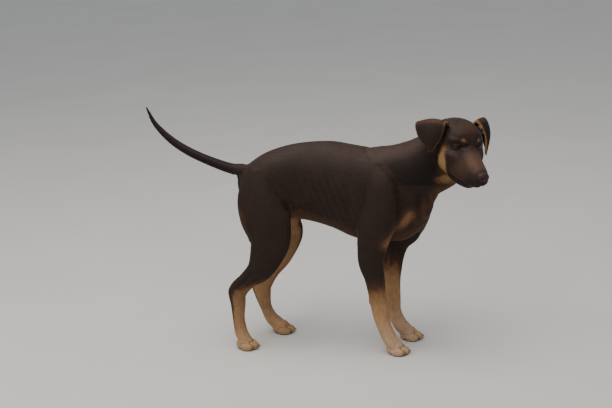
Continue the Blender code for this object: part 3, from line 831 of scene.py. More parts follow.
def refine(mesh, near):
    """Edges whose ends are both near a feature of the face are cut in two."""
    bm = bmesh.new()
    bm.from_mesh(mesh)
    edges = [e for e in bm.edges if near[e.verts[0].index] and near[e.verts[1].index]]
    bmesh.ops.subdivide_edges(bm, edges=edges, cuts=1, use_grid_fill=True, smooth=0)
    bmesh.ops.triangulate(bm, faces=[f for f in bm.faces if len(f.verts) > 4])
    bm.to_mesh(mesh)
    bm.free()


def build_skin():
    """The skin: tubes joined on a grid of voxels, eased, shaped, drawn in by the coat's depth and thinned."""
    skin = new_object("skin", *joined_tubes(skin_grids()))
    remesh = skin.modifiers.new("join", "REMESH")
    remesh.mode = "VOXEL"
    remesh.voxel_size = SKIN_VOXEL
    settle(skin)
    mesh = skin.data
    points = read_points(mesh)
    coat = find_places(points).coat
    points = eased(points, read_edges(mesh), coat[:, EASE], coat[:, HOLD], 40)
    write_points(mesh, points)
    points = add_body_relief(points, read_normals(mesh))
    write_points(mesh, points)
    points = add_leg_relief(points, read_normals(mesh))
    write_points(mesh, points)
    drawn = coat[:, DEPTH] * smooth_step(0.001, 0.006, points[:, 2])
    points -= read_normals(mesh) * drawn[:, None]
    write_points(mesh, points)

    local = placed(points, TO_HEAD)
    folded = fold(local)
    near = np.linalg.norm(folded - EYE, axis=1) < 0.021
    near |= near_line(folded, MOUTH, 0.0050) > 0.1
    refine(mesh, near)
    local = placed(read_points(mesh), TO_HEAD)
    head = (local[:, 0] > -0.05) & (np.abs(local[:, 1]) < 0.06) & (local[:, 2] > -0.09)
    local = hollow_orbits(local)
    write_points(mesh, placed(local, HEAD))
    normals = read_normals(mesh) @ HEAD[:3, :3]
    local = np.where(head[:, None], shape_face(local, normals), local)
    local = shape_lids(local)
    local = eased(local, read_edges(mesh), 0.5 * around_eyes(local), 0, 14)
    points = placed(local, HEAD)
    points[:, 2] = np.maximum(points[:, 2], 0)
    write_points(mesh, points)

    triangles = sum(len(p.vertices) - 2 for p in mesh.polygons)
    thin = skin.modifiers.new("thin", "DECIMATE")
    thin.ratio = min(1, SKIN_TRIANGLES / triangles)
    thin.use_collapse_triangulate = True
    settle(skin)
    skin.data.shade_smooth()
    return skin


# ---------------------------------------------------------------- eyes, nose and claws


def revolve(centre, axis, side_way, t, out, sides=48):
    """A profile turned about an axis: centre + axis cos part + out part round it, closed at both poles."""
    other = np.cross(axis, side_way)
    a = np.linspace(0, 2 * PI, sides, endpoint=False)
    ring = np.cos(a)[:, None] * side_way + np.sin(a)[:, None] * other
    return centre + t[:, None, None] * axis + out[:, None, None] * ring[None]


def build_eye(side, word):
    """A ball of the eye's radius whose front bulges: the radius grows by 0.6 mm as a bell over the cornea."""
    centre, gaze, inner, _ = eye_frame(side)
    polar = np.radians(np.concatenate((np.arange(1.5, 60, 1.5), np.arange(60, 179, 5))))
    radius = EYE_RADIUS * (1 + 0.055 * np.exp(-((polar / 0.50) ** 4)))
    grid = revolve(centre, gaze, inner, radius * np.cos(polar), radius * np.sin(polar))
    points, faces = joined_tubes([placed(grid, HEAD)])
    eye = new_object(f"{word}_eyeball", points, faces)
    value = np.concatenate((np.repeat(polar, grid.shape[1]), (0, PI)))
    add_value(eye.data, "from_pupil", value)
    return eye


def build_rim(side, word):
    """The bare edge of the lids: a thin tube along the almond on a ball just larger than the eye."""
    centre, gaze, inner, up = eye_frame(side)
    t = np.linspace(0, 2 * PI, 96, endpoint=False)
    a = np.where(np.cos(t) > 0, LID_INNER_REACH, LID_REACH) * np.cos(t)
    top, low = lid_edges(a * 0.9999)
    e = np.where(np.sin(t) >= 0, top, low)
    level = np.cos(a)[:, None] * gaze + np.sin(a)[:, None] * inner
    way = np.cos(e)[:, None] * level + np.sin(e)[:, None] * up
    path = centre + way * RIM_BALL
    along = unit(np.roll(path, -1, 0) - np.roll(path, 1, 0))
    other = np.cross(along, way)
    b = np.linspace(0, 2 * PI, 12, endpoint=False)[None, :, None]
    grid = path[:, None] + RIM_RADIUS * (np.cos(b) * way[:, None] + np.sin(b) * other[:, None])
    n, m = grid.shape[:2]
    i, j = np.meshgrid(np.arange(n), np.arange(m), indexing="ij")
    quad = np.stack((i * m + j, i * m + (j + 1) % m, (i + 1) % n * m + (j + 1) % m, (i + 1) % n * m + j), -1)
    return new_object(f"{word}_lid_rim", placed(grid, HEAD).reshape(-1, 3), quad.reshape(-1, 4).tolist())


def build_nose():
    """An ellipsoid about X: fuller above, with a flat front, two comma-shaped nostrils that run out to the
    sides, and a groove down its middle."""
    b = np.linspace(0.02, PI - 0.02, 90)[:, None]
    a = np.linspace(0, 2 * PI, 120, endpoint=False)[None, :]
    way = np.stack((np.cos(b) + 0 * a, np.sin(b) * np.cos(a), np.sin(b) * np.sin(a)), -1)
    shape = np.sign(way) * np.abs(way) ** 0.86
    shape = shape / (np.linalg.norm(shape, axis=-1, keepdims=True) ** 0.45)
    front = smooth_step(0.0, 0.6, way[..., 0])
    hollow = np.zeros(way.shape[:2])
    for side in BOTH:
        y, z = way[..., 1] * side, way[..., 2]
        hollow += 0.34 * np.exp(-(((y - 0.44) / 0.17) ** 2) - ((z + 0.06) / 0.17) ** 2)
        hollow += 0.16 * np.exp(-(((y - 0.74) / 0.24) ** 2) - ((z + 0.26 + 0.3 * (y - 0.6)) / 0.085) ** 2)
    hollow += 0.10 * np.exp(-((way[..., 1] / 0.055) ** 2)) * smooth_step(0.45, -0.1, way[..., 2])
    points = NOSE + NOSE_RADII * 0.97 * shape * (1 - hollow * front)[..., None]
    return new_object("nose_leather", *joined_tubes([placed(points, HEAD)]))


def build_claws():
    """Each claw is a bent cone: oval sections along an arc that leaves the toe and turns down."""
    t = np.linspace(0, 1, 12)
    a = np.linspace(0, 2 * PI, 14, endpoint=False)
    grids = []
    for name in PAWS:
        for toe in toe_places():
            start = toe + (TOE_RADII[0] - 0.0065, 0, 0.0015)
            path = start + np.stack((0.0098 * t, 0 * t, -0.0038 * t**2.0), -1)
            radius = 1.08 * CLAW_RADIUS * (1 - 0.80 * t**2.2)
            y = radius[:, None] * 0.8 * np.cos(a)
            z = radius[:, None] * np.where(np.sin(a) > 0, 1.0, 0.85) * np.sin(a)
            grid = path[:, None] + np.stack((0 * y, y, z), -1)
            grids.append(placed(grid, paw_frame(name)))
    return new_object("claws", *joined_tubes(grids))


# ---------------------------------------------------------------- markings, painted sheen and painted shade


def add_value(mesh, name, values):
    """A number for each point of a mesh."""
    mesh.attributes.new(name, "FLOAT", "POINT").data.foreach_set("value", values.astype(np.float32))


def add_vector(mesh, name, values):
    """A vector for each point of a mesh."""
    data = mesh.attributes.new(name, "FLOAT_VECTOR", "POINT").data
    data.foreach_set("vector", values.astype(np.float32).ravel())


def patch(points, centre, radii, soft=0.35):
    """1 inside an ellipsoid and 0 outside, over a soft edge measured in radii."""
    away = np.sqrt((((points - np.array(centre)) / radii) ** 2).sum(1))
    return 1 - smooth_step(1 - soft, 1 + soft, away)


# Tan patches of both sides of the face, in the head's frame: share, centre, radii, softness of the edge.
TAN_FACE = (
    (0.92, (-0.0135, 0.0400, -0.0500), (0.0120, 0.020, 0.041), 0.40),
    (0.85, (-0.008, 0.0200, -0.0840), (0.020, 0.026, 0.011), 0.6),
    (0.64, (0.0070, 0.0172, 0.0126), (0.0060, 0.0046, 0.0034), 0.7),
    (0.30, (0.046, 0.009, -0.016), (0.032, 0.013, 0.016), 0.9),
    (0.18, (-0.008, 0.000, 0.030), (0.030, 0.016, 0.014), 0.9),
    (0.18, (0.030, 0.022, -0.034), (0.022, 0.012, 0.016), 0.8),
)
# Tan stripes of both sides of the breast, the throat and the armpit: share, half width, route.
TAN_CHEST = (
    (0.54, 0.016, ((0.172, 0.060, 0.250), (0.196, 0.055, 0.270), (0.222, 0.044, 0.304))),
    (0.32, 0.018, (
        (0.300, 0.008, 0.362), (0.270, 0.012, 0.343), (0.248, 0.020, 0.316), (0.238, 0.024, 0.290),
    )),
    (0.50, 0.007, ((0.178, 0.052, 0.258), (0.165, 0.041, 0.222), (0.160, 0.035, 0.180))),
)


def in_regions(place, *names):
    """Which points belong to any of the named regions."""
    return np.isin(place.region, [REGIONS.index(name) for name in names])


def tan_of_fore_leg(z, inner, front, chest):
    """Tan up to just over the wrist, higher on the inner side, and meeting the marks of the chest."""
    level = 0.152 + 0.004 * front + 0.028 * smooth_step(0.15, 0.75, inner)
    share = 1 - smooth_step(level - 0.056, level + 0.034, z)
    return np.maximum(0.92 * share, chest)


def tan_of_hind_leg(z, inner, front, facing):
    """Tan up to the hock, and over it on the inner side, with a dark stripe down the back."""
    level = 0.146 + 0.014 * front + 0.13 * facing
    share = 1 - smooth_step(level - 0.022, level + 0.016, z)
    outer = 1 - smooth_step(0.1, 0.6, inner)
    share *= 1 - 0.26 * smooth_step(0.020, 0.070, z) - 0.22 * outer * smooth_step(0.060, 0.135, z)
    back = smooth_step(0.45, 0.90, -front) * smooth_step(0.040, 0.075, z)
    return share * (1 - 0.80 * back * (1 - smooth_step(0.2, 0.7, inner)))


def tan_of_ear(points, length, word):
    """Tan on the rim, less of it near the root, a band of painted highlight along the fold, and a front band
    on the left ear.
    """
    sheet = placed(ear_sheet(EARS[word], 60, 40), HEAD)
    rim = away_from(points, np.concatenate((sheet[14:, 0], sheet[-1], sheet[14:, -1])))
    crease = away_from(points, sheet[18:22].reshape(-1, 3))
    share = 0.04 + 0.34 * (1 - smooth_step(0.012, 0.034, length))
    # Painted highlight: a tan band along the top of the fold, where it catches the light.
    share = np.maximum(share, 0.34 * (1 - smooth_step(0.002, 0.009, crease)))
    share += 0.60 * (1 - smooth_step(0.0008, 0.0032, rim))
    if word == "left":
        front = away_from(points, sheet[14:, 0])
        share = np.maximum(share, 0.70 * (1 - smooth_step(0.0045, 0.0095, front)))
    return share


def find_tan(points, place):
    """The tan points: cheeks, throat, brows, muzzle, breast, belly, lower legs, inner thighs and ears."""
    folded = fold(placed(points, TO_HEAD))
    face = np.maximum.reduce([share * patch(folded, *measures) for share, *measures in TAN_FACE])
    tan = np.where(in_regions(place, "skull", "neck"), face, 0)

    even_sided = fold(points)
    stripes = [share * near_line(even_sided, route, width) for share, width, route in TAN_CHEST]
    chest = np.maximum.reduce(stripes)
    under = smooth_step(0.70, 1.0, -np.cos(place.angle)) * in_regions(place, "trunk")
    belly = (0.30 + 0.25 * smooth_step(0.0, -0.05, points[:, 0])) * under
    body = in_regions(place, "trunk", "neck", "right_shoulder", "left_shoulder")
    tan += np.where(body, np.maximum(chest, belly), 0)

    wobble = 0.004 * np.sin(points[:, 0] * 210 + 3 * np.sin(points[:, 1] * 170)) * np.sin(points[:, 2] * 260)
    z = points[:, 2] + wobble
    front = np.cos(place.angle)
    for name in LEGS:
        sign = -1 if name.startswith("right") else 1
        inner = -np.sin(place.angle) * sign
        leg = in_regions(place, f"{name}_leg", f"{name}_paw")
        if name.endswith("fore"):
            tan = np.where(leg, tan_of_fore_leg(z, inner, front, chest), tan)
            continue
        facing = smooth_step(0.22, 0.62, inner + 0.24 * (sign > 0))
        tan = np.where(leg, tan_of_hind_leg(z, inner, front, facing), tan)
        inside = 0.86 * facing * (1 - smooth_step(0.275, 0.315, z))
        fringe = 0.22 * smooth_step(0.86, 0.99, -front) * (1 - smooth_step(0.30, 0.34, z))
        thigh = in_regions(place, upper_name(name))
        tan = np.where(thigh, np.maximum(tan, np.maximum(inside, fringe)), tan)

    for word in ("right", "left"):
        own = np.flatnonzero(in_regions(place, f"{word}_ear"))
        tan[own] = tan_of_ear(points[own], place.length[own], word)
    return np.clip(tan, 0, 1)


def away_from(points, others):
    """The distance from each point to the nearest of some others."""
    parts = [np.sqrt(((part[:, None] - others[None]) ** 2).sum(-1).min(1)) for part in in_chunks(points)]
    return np.concatenate(parts) if parts else np.zeros(0)


def in_chunks(points):
    """The points a few thousand at a time."""
    return np.array_split(points, len(points) // CHUNK + 1)


# Lighter patches of both sides of the face, in the head's frame: rise, centre, radii, softness of the edge.
# The first and the third are painted sheen, on the ridge under the eye and on the brow over it; the second,
# on the top of the muzzle, is partly lighter hair and partly painted sheen; the last lightens the side of
# the muzzle above the lips.
PALE_AND_SHEEN_FACE = (
    (0.22, (0.004, 0.034, -0.016), (0.011, 0.010, 0.005), 0.6),
    (0.26, (0.044, 0.006, -0.016), (0.030, 0.013, 0.016), 0.8),
    (0.20, (-0.002, 0.034, 0.0125), (0.012, 0.010, 0.0035), 0.6),
    (0.16, (0.028, 0.026, -0.050), (0.026, 0.014, 0.018), 0.6),
)


def shade_of_face(folded):
    """Lighter patches, partly painted sheen, less painted shade over each eye under the brow and below its
    inner corner, and less the dark lip line, lip corner and spot on the muzzle.
    """
    shade = sum(rise * patch(folded, *measures) for rise, *measures in PALE_AND_SHEEN_FACE)
    # Painted shade: the band over each eye under the brow and the hollow below its inner corner are darkened.
    dim = swell(folded, (-0.004, 0.0280, 0.0060), (0.014, 0.008, 0.0035))
    dim = np.maximum(dim, 0.7 * swell(folded, (0.010, 0.0240, -0.0160), (0.008, 0.008, 0.010)))
    dark = near_line(folded, MOUTH, 0.0022)
    dark = np.maximum(dark, 0.8 * swell(folded, (0.0562, 0.0150, -0.0245), (0.003, 0.003, 0.003)))
    dark = np.maximum(dark, 0.6 * swell(folded, (0.0100, 0.0290, -0.0610), (0.004, 0.004, 0.003)))
    return shade - 0.22 * dim - 0.45 * dark


def shade_of_foot(points, place, name):
    """Painted shade in the gaps between the toes, and a leg that pales towards its paw, most on the forelegs.
    """
    own = placed(points, np.linalg.inv(paw_frame(name)))
    paw = in_regions(place, f"{name}_paw")
    # Painted shade: the gaps between the toes are darkened.
    gap = np.abs(((own[:, 1] / TOE_SPACING + 0.5) % 1) - 0.5)
    gap = (1 - smooth_step(0.0, 0.16, gap)) * (np.abs(own[:, 1]) < 1.4 * TOE_SPACING) * (own[:, 0] > -0.022)
    leg = in_regions(place, f"{name}_paw", f"{name}_leg")
    pale = 0.28 if name.endswith("fore") else 0.06
    lighter = np.where(leg, pale * (1 - smooth_step(0.028, 0.095, points[:, 2])), 0)
    return lighter - np.where(paw, 0.42 * gap, 0)


def find_shade(points, normals, place):
    """Painted sheen on all that faces up, most on the back, withers and head; paler paws; painted shade on
    the neck's sides and underside, round the eyes and between the toes; and darker coat on the breast, tail
    and ears, at the wrists and round the lips."""
    folded = fold(placed(points, TO_HEAD))
    shade = np.full(len(points), 0.5)
    # Painted sheen: what faces up is lightened, over the back and most of all over the withers.
    upward = smooth_step(0.1, 0.9, normals[:, 2])
    shade += 0.10 * smooth_step(0.36, 0.44, points[:, 2]) * upward
    shade += 0.10 * patch(points, (0.185, 0.0, 0.43), (0.055, 0.06, 0.04), 0.8) * upward
    head = in_regions(place, "skull")
    # On the head too, what faces up gets painted sheen.
    shade = np.where(head, 0.47 + 0.08 * upward + shade_of_face(folded), shade)
    # Painted shade: the neck's sides and underside, which face away from the light above, are darkened.
    sides = 1 - smooth_step(-0.2, 0.6, normals[:, 2])
    shade -= np.where(in_regions(place, "neck"), 0.32 * sides, 0)
    shade -= 0.16 * patch(points, (0.215, 0.0, 0.300), (0.050, 0.08, 0.050), 0.5) * ~head
    shade -= np.where(in_regions(place, "tail"), 0.22, 0)
    shade -= np.where(in_regions(place, "right_ear", "left_ear"), 0.10, 0)
    for name in ("right_fore", "left_fore"):
        wrist = curve(LEGS[name], np.array((3.0,)))[0, :3]
        shade -= 0.13 * swell(points, wrist, (0.022, 0.022, 0.010))
    for name in PAWS:
        shade += shade_of_foot(points, place, name)
    return np.clip(shade, 0, 1)


def find_bare(points, normals, place):
    """The pads: what faces down on the soles of the paws."""
    sole = (1 - smooth_step(0.0025, 0.0050, points[:, 2])) * smooth_step(-0.2, -0.6, normals[:, 2])
    return np.where(in_regions(place, *(f"{name}_paw" for name in PAWS)), sole, 0)


def find_lay(place):
    """Length along the region, length round it, and a step from region to region, for the hair's texture."""
    return np.column_stack((place.length, place.around, place.region * 0.7))


def mark(mesh, points, normals, place):
    """The markings, the painted sheen and shade, and the lay of the coat as attributes of a mesh."""
    add_value(mesh, "tan_share", find_tan(points, place))
    add_value(mesh, "shade", find_shade(points, normals, place))
    add_value(mesh, "bare", find_bare(points, normals, place))
    add_vector(mesh, "coat_lay", find_lay(place))


# ---------------------------------------------------------------- the coat


def region_boxes():
    """A box for each region on the unwrap: shelves filled from the tallest region down, each box as long as
    its region and as wide as its girth, all at one scale."""
    sizes = []
    for i in range(len(REGIONS)):
        own = STATIONS.region == i
        length = STATIONS.length[own].max() + 0.03
        girth = 2 * EAR_WIDTH if (STATIONS.sheet[own] > 0).any() else 2 * PI * STATIONS.size[own].max()
        sizes.append((length, girth))
    scale = 0.98
    while True:
        boxes, x, y, shelf = {}, 0.0, 0.0, 0.0
        for i in sorted(range(len(sizes)), key=lambda k: -sizes[k][1]):
            long, wide = sizes[i][0] * scale, sizes[i][1] * scale
            if x + long > 1:
                x, y, shelf = 0.0, y + shelf, 0.0
            boxes[i] = (x, y, scale, sizes[i][1])
            x, shelf = x + long, max(shelf, wide)
        if y + shelf <= 1:
            return np.array([boxes[i] for i in range(len(sizes))])
        scale *= 0.98


def unwrap(place):
    """A root's place on the unwrap: length along its region, and length round it, in the region's box."""
    x, y, scale, girth = region_boxes()[place.region].T
    flat = place.region >= len(FORMS)
    around = np.where(flat, place.around, place.around + girth / 2)
    return np.column_stack((x + scale * (place.length + 0.015), y + scale * around))


def scatter(skin, rng):
    """Roots over the skin: each triangle gets tufts in proportion to its area over a tuft's own. Returns the
    roots, their normals and the triangles' bend of the normals, for the tufts to follow."""
    mesh = skin.data
    points, normals = read_points(mesh), read_normals(mesh)
    tri = np.empty(len(mesh.polygons) * 3, np.int32)
    mesh.polygons.foreach_get("vertices", tri)
    tri = tri.reshape(-1, 3)
    a, b, c = points[tri[:, 0]], points[tri[:, 1]], points[tri[:, 2]]
    cross = np.cross(b - a, c - a)
    area = np.linalg.norm(cross, axis=1) / 2
    coat = find_places(points).coat[tri].mean(1)
    wanted = area * coat[:, COVER] / (0.5 * coat[:, LENGTH] * coat[:, WIDTH])
    bare = np.empty(len(points), np.float32)
    mesh.attributes["bare"].data.foreach_get("value", bare)
    wanted *= (bare[tri].mean(1) < 0.3)
    total = np.cumsum(wanted)
    count = int(total[-1])
    t = np.searchsorted(total, (np.arange(count) + rng.random(count)) * total[-1] / count)
    t = np.minimum(t, len(tri) - 1)
    u, v = rng.random((2, count))
    flip = u + v > 1
    u, v = np.where(flip, 1 - u, u), np.where(flip, 1 - v, v)
    w = np.stack((1 - u - v, u, v), 1)
    root = (points[tri[t]] * w[..., None]).sum(1)
    normal = unit((normals[tri[t]] * w[..., None]).sum(1))
    return root, normal, t, tri, points, normals, cross


def bend_along(lie, t, tri, points, normals, cross):
    """How fast the normal tips towards the lie, per metre: the gradient of the normals over a triangle."""
    corner = points[tri[t]]
    face = cross[t] / np.maximum((cross[t] ** 2).sum(1), 1e-16)[:, None]
    bend = np.zeros(len(t))
    for k in range(3):
        opposite = corner[:, (k + 2) % 3] - corner[:, (k + 1) % 3]
        slope = (np.cross(face, opposite) * lie).sum(1)
        bend += slope * (normals[tri[t, k]] * lie).sum(1)
    return np.clip(bend, -40, 60)


TUFT_FACES = np.array(((0, 2, 1), (0, 3, 2), (1, 2, 4), (2, 3, 4), (0, 1, 3), (1, 4, 3)))


def facing_back(points, normals):
    """How far a point is on the back of the rump, under the tail, where the coat hangs straight down."""
    below = 1 - smooth_step(0.366, 0.384, points[:, 2])
    return smooth_step(0.20, 0.70, -normals[:, 0]) * below * smooth_step(0.095, 0.120, -points[:, 0])


def tufts(skin):
    """Each tuft is a spindle of six faces: a root under the skin, a low ridge at two fifths of its length
    with a foot on either side, and a tip that lies on the surface ahead. Its normals are the skin's, leaning
    a little to either side at its feet."""
    rng = np.random.default_rng(11)
    root, normal, t, tri, points, normals, cross = scatter(skin, rng)
    n = len(root)
    place = find_places(root)
    lie = place.lie - 1.6 * facing_back(root, normal)[:, None] * Z
    lie = unit(lie - normal * (lie * normal).sum(1)[:, None])
    swing = np.radians(6) * rng.standard_normal(n) + 0.05 * np.sin(root @ np.array((65.0, 50.0, 80.0)))
    side = np.cross(normal, lie)
    lie = lie * np.cos(swing)[:, None] + side * np.sin(swing)[:, None]
    side = np.cross(normal, lie)
    bend = bend_along(lie, t, tri, points, normals, cross)
    length = place.coat[:, LENGTH] * (0.75 + 0.5 * rng.random(n))
    width = place.coat[:, WIDTH] * (0.75 + 0.5 * rng.random(n))
    rise = place.coat[:, RISE] * (0.7 + 0.6 * rng.random(n))

    def at(along, over, up):
        drop = bend * (along * length) ** 2 / 2
        return (root + lie * (along * length)[:, None] + side * (over * width)[:, None]
                + normal * (up - drop)[:, None])

    corners = np.stack((
        at(0.0, 0.0, -0.0003 + 0 * rise),
        at(0.40, 0.5, 0.02 * rise),
        at(0.42, 0.0, rise),
        at(0.40, -0.5, 0.02 * rise),
        at(1.0, 0.0, 0.55 * rise),
    ), 1)
    corners[..., 2] = np.maximum(corners[..., 2], 0.0002)
    tilt = np.array((0.0, 0.30, 0.0, -0.30, 0.0))[None, :, None]
    leaning = unit(normal[:, None] + tilt * side[:, None])
    return corners, leaning, root, normal, place, rng.random(n)


TUFTS_PER_PIECE = 33000
# The five points of a tuft on the unwrap, about its root: a patch 0.003 long and wide.
TUFT_PATCH = np.array(((-1.5, 0), (-0.2, -1.5), (-0.2, 0), (-0.2, 1.5), (1.5, 0))) / 1000


def build_coat(skin, material):
    """The tufts in pieces of fewer than 200,000 faces, with the unwrap and the markings, painted sheen and
    painted shade of their roots. The pieces go from region to region."""
    corners, leaning, root, normal, place, chance = tufts(skin)
    spot = unwrap(place)
    tan = find_tan(root, place)
    shade = find_shade(root, normal, place)
    lay = find_lay(place)
    order = np.argsort(place.region, kind="stable")
    pieces = []
    for k, start in enumerate(range(0, len(root), TUFTS_PER_PIECE), 1):
        own = order[start : start + TUFTS_PER_PIECE]
        n = len(own)
        mesh = bpy.data.meshes.new(f"coat_{k}")
        faces = (np.arange(n)[:, None, None] * 5 + TUFT_FACES).reshape(-1, 3)
        mesh.vertices.add(n * 5)
        mesh.vertices.foreach_set("co", corners[own].astype(np.float32).ravel())
        mesh.loops.add(faces.size)
        mesh.loops.foreach_set("vertex_index", faces.astype(np.int32).ravel())
        mesh.polygons.add(len(faces))
        mesh.polygons.foreach_set("loop_start", np.arange(0, faces.size, 3, dtype=np.int32))
        mesh.update(calc_edges=True)
        mesh.shade_smooth()
        mesh.normals_split_custom_set_from_vertices(leaning[own].reshape(-1, 3).tolist())
        uv = np.repeat(spot[own], 5, 0) + np.tile(TUFT_PATCH, (n, 1))
        layer = mesh.uv_layers.new(name="OFBake")
        layer.uv.foreach_set("vector", uv[faces.ravel()].astype(np.float32).ravel())
        for name, values in (("tan_share", tan), ("shade", shade), ("strand", chance)):
            add_value(mesh, name, np.repeat(values[own], 5))
        add_value(mesh, "bare", np.zeros(n * 5))
        add_vector(mesh, "coat_lay", np.repeat(lay[own], 5, 0))
        obj = bpy.data.objects.new(f"coat_{k}", mesh)
        bpy.context.scene.collection.objects.link(obj)
        mesh.materials.append(material)
        pieces.append(obj)
    return pieces


# ---------------------------------------------------------------- materials


class Tree:
    """A node tree with short ways to add and join nodes."""

    def __init__(self, tree):
        self.tree = tree

    def add(self, kind, values=None, **settings):
        """A node with its settings and the values or links of its inputs."""
        node = self.tree.nodes.new(kind)
        for key, value in settings.items():
            setattr(node, key, value)
        for key, value in (values or {}).items():
            self.feed(node.inputs[key], value)
        return node

    def feed(self, socket, value):
        """A socket joined to another, or set to a constant."""
        if isinstance(value, bpy.types.NodeSocket):
            self.tree.links.new(value, socket)
        else:
            socket.default_value = value

    def attribute(self, name, output="Fac"):
        """A value stored on the mesh."""
        return self.add("ShaderNodeAttribute", attribute_name=name).outputs[output]

    def math(self, operation, a, b=0.0):
        """Two values combined."""
        return self.add("ShaderNodeMath", {0: a, 1: b}, operation=operation).outputs[0]

    def mix(self, share, a, b, blend="MIX"):
        """Two colours mixed by a share."""
        node = self.add("ShaderNodeMix", data_type="RGBA", blend_type=blend)
        self.feed(node.inputs[0], share)
        self.feed(node.inputs[6], a)
        self.feed(node.inputs[7], b)
        return node.outputs[2]

    def ranged(self, value, low, high, to_low=0.0, to_high=1.0):
        """A value mapped from one range to another, and held inside it."""
        return self.add("ShaderNodeMapRange", {0: value, 1: low, 2: high, 3: to_low, 4: to_high}).outputs[0]

    def noise(self, vector, scale, detail=2.0, roughness=0.5):
        """Cloudy noise at a scale."""
        values = {"Vector": vector, "Scale": scale, "Detail": detail, "Roughness": roughness}
        return self.add("ShaderNodeTexNoise", values).outputs["Fac"]


def colour(hex_code):
    """A linear colour from a two-digit-each red, green and blue code."""
    parts = np.array([int(hex_code[i : i + 2], 16) for i in (0, 2, 4)]) / 255
    linear = np.where(parts <= 0.04045, parts / 12.92, ((parts + 0.055) / 1.055) ** 2.4)
    return (*linear, 1.0)


# The blackest coat: the darkest hair, and also the painted shade on the neck's sides, round the eyes and
# between the toes.
BLACK_COAT_AND_SHADE = colour("140e0c")
DARK_COAT = colour("2b1d17")
# Greyer tips: they stand in for painted sheen on what faces up, and for lighter hair on the muzzle.
DARK_TIPS_AND_SHEEN = colour("574339")
TAN_COAT = colour("a07950")
PALE_TAN = colour("bc9a7c")
RED_BROWN = colour("5a3a24")
PAD_SKIN = colour("2e2725")


def coat_group():
    """The coat's colour, roughness and relief from its markings, its shade and the lay of its hair."""
    group = bpy.data.node_groups.new("coat_markings", "ShaderNodeTree")
    face = group.interface
    for name in ("Tan", "Shade", "Bare", "Strand"):
        face.new_socket(name, in_out="INPUT", socket_type="NodeSocketFloat")
    face.new_socket("Lay", in_out="INPUT", socket_type="NodeSocketVector")
    face.new_socket("Color", in_out="OUTPUT", socket_type="NodeSocketColor")
    face.new_socket("Roughness", in_out="OUTPUT", socket_type="NodeSocketFloat")
    face.new_socket("Height", in_out="OUTPUT", socket_type="NodeSocketFloat")
    t = Tree(group)
    given = t.add("NodeGroupInput").outputs
    place = t.add("ShaderNodeTexCoord").outputs["Object"]
    stretch = t.add("ShaderNodeMapping", {"Vector": given["Lay"], "Scale": (90.0, 1150.0, 400.0)})
    hair = t.noise(stretch.outputs[0], 1.0, 3.0, 0.6)
    locks = t.add("ShaderNodeMapping", {"Vector": given["Lay"], "Scale": (28.0, 190.0, 90.0)})
    lock = t.noise(locks.outputs[0], 1.0, 2.0, 0.5)
    broad = t.noise(place, 26.0, 2.0, 0.5)

    edge = t.math("ADD", given["Tan"], t.math("MULTIPLY", t.math("SUBTRACT", hair, 0.5), 0.16))
    share = t.ranged(edge, 0.04, 0.96)
    # Low shade turns towards the blackest coat: partly darker coat, partly painted shade.
    deep = t.mix(t.ranged(given["Shade"], 0.05, 0.50), BLACK_COAT_AND_SHADE, DARK_COAT)
    # High shade turns towards the greyer tips: mostly painted sheen, and lighter hair on the muzzle.
    dark = t.mix(t.ranged(given["Shade"], 0.50, 0.95), deep, DARK_TIPS_AND_SHEEN)
    tan = t.mix(t.ranged(given["Shade"], 0.45, 0.85), TAN_COAT, PALE_TAN)
    middle = t.mix(t.ranged(share, 0.0, 0.55), dark, RED_BROWN)
    coat = t.mix(t.ranged(share, 0.30, 1.0), middle, tan)
    streak = t.ranged(hair, 0.25, 0.75, 0.72, 1.28)
    streak = t.math("MULTIPLY", streak, t.ranged(lock, 0.25, 0.75, 0.88, 1.12))
    streak = t.math("MULTIPLY", streak, t.ranged(broad, 0.3, 0.7, 0.90, 1.10))
    streak = t.math("MULTIPLY", streak, t.ranged(given["Strand"], 0.0, 1.0, 0.86, 1.14))
    streak = t.math("MULTIPLY", streak, t.ranged(given["Shade"], 0.0, 0.4, 0.55, 1.0))
    tint = t.add("ShaderNodeCombineColor", {0: streak, 1: streak, 2: streak}).outputs[0]
    coat = t.mix(1.0, coat, tint, "MULTIPLY")
    coat = t.mix(given["Bare"], coat, PAD_SKIN)
    rough = t.math("ADD", t.ranged(hair, 0.2, 0.8, 0.50, 0.66), t.math("MULTIPLY", given["Bare"], 0.15))
    height = t.math("ADD", hair, t.math("MULTIPLY", lock, 1.3))
    t.add("NodeGroupOutput", {"Color": coat, "Roughness": rough, "Height": height})
    return group


def new_material(name):
    """A material with its node tree and its shader."""
    material = bpy.data.materials.new(name)
    material.use_nodes = True
    tree = Tree(material.node_tree)
    shader = material.node_tree.nodes["Principled BSDF"]
    return material, tree, shader


def coat_material(name, group, has_strands):
    """The coat's finish on the skin, or on the tufts where each has a chance value of its own."""
    material, t, shader = new_material(name)
    node = t.add("ShaderNodeGroup", node_tree=group)
    t.feed(node.inputs["Tan"], t.attribute("tan_share"))
    t.feed(node.inputs["Shade"], t.attribute("shade"))
    t.feed(node.inputs["Bare"], t.attribute("bare"))
    t.feed(node.inputs["Lay"], t.attribute("coat_lay", "Vector"))
    t.feed(node.inputs["Strand"], t.attribute("strand") if has_strands else 0.5)
    t.feed(shader.inputs["Base Color"], node.outputs["Color"])
    t.feed(shader.inputs["Roughness"], node.outputs["Roughness"])
    bump = t.add("ShaderNodeBump", {"Height": node.outputs["Height"], "Strength": 0.3, "Distance": 0.0004})
    t.feed(shader.inputs["Normal"], bump.outputs[0])
    shader.inputs["Sheen Weight"].default_value = 0.02
    shader.inputs["Sheen Roughness"].default_value = 0.45
    shader.inputs["Specular IOR Level"].default_value = 0.16
    return material


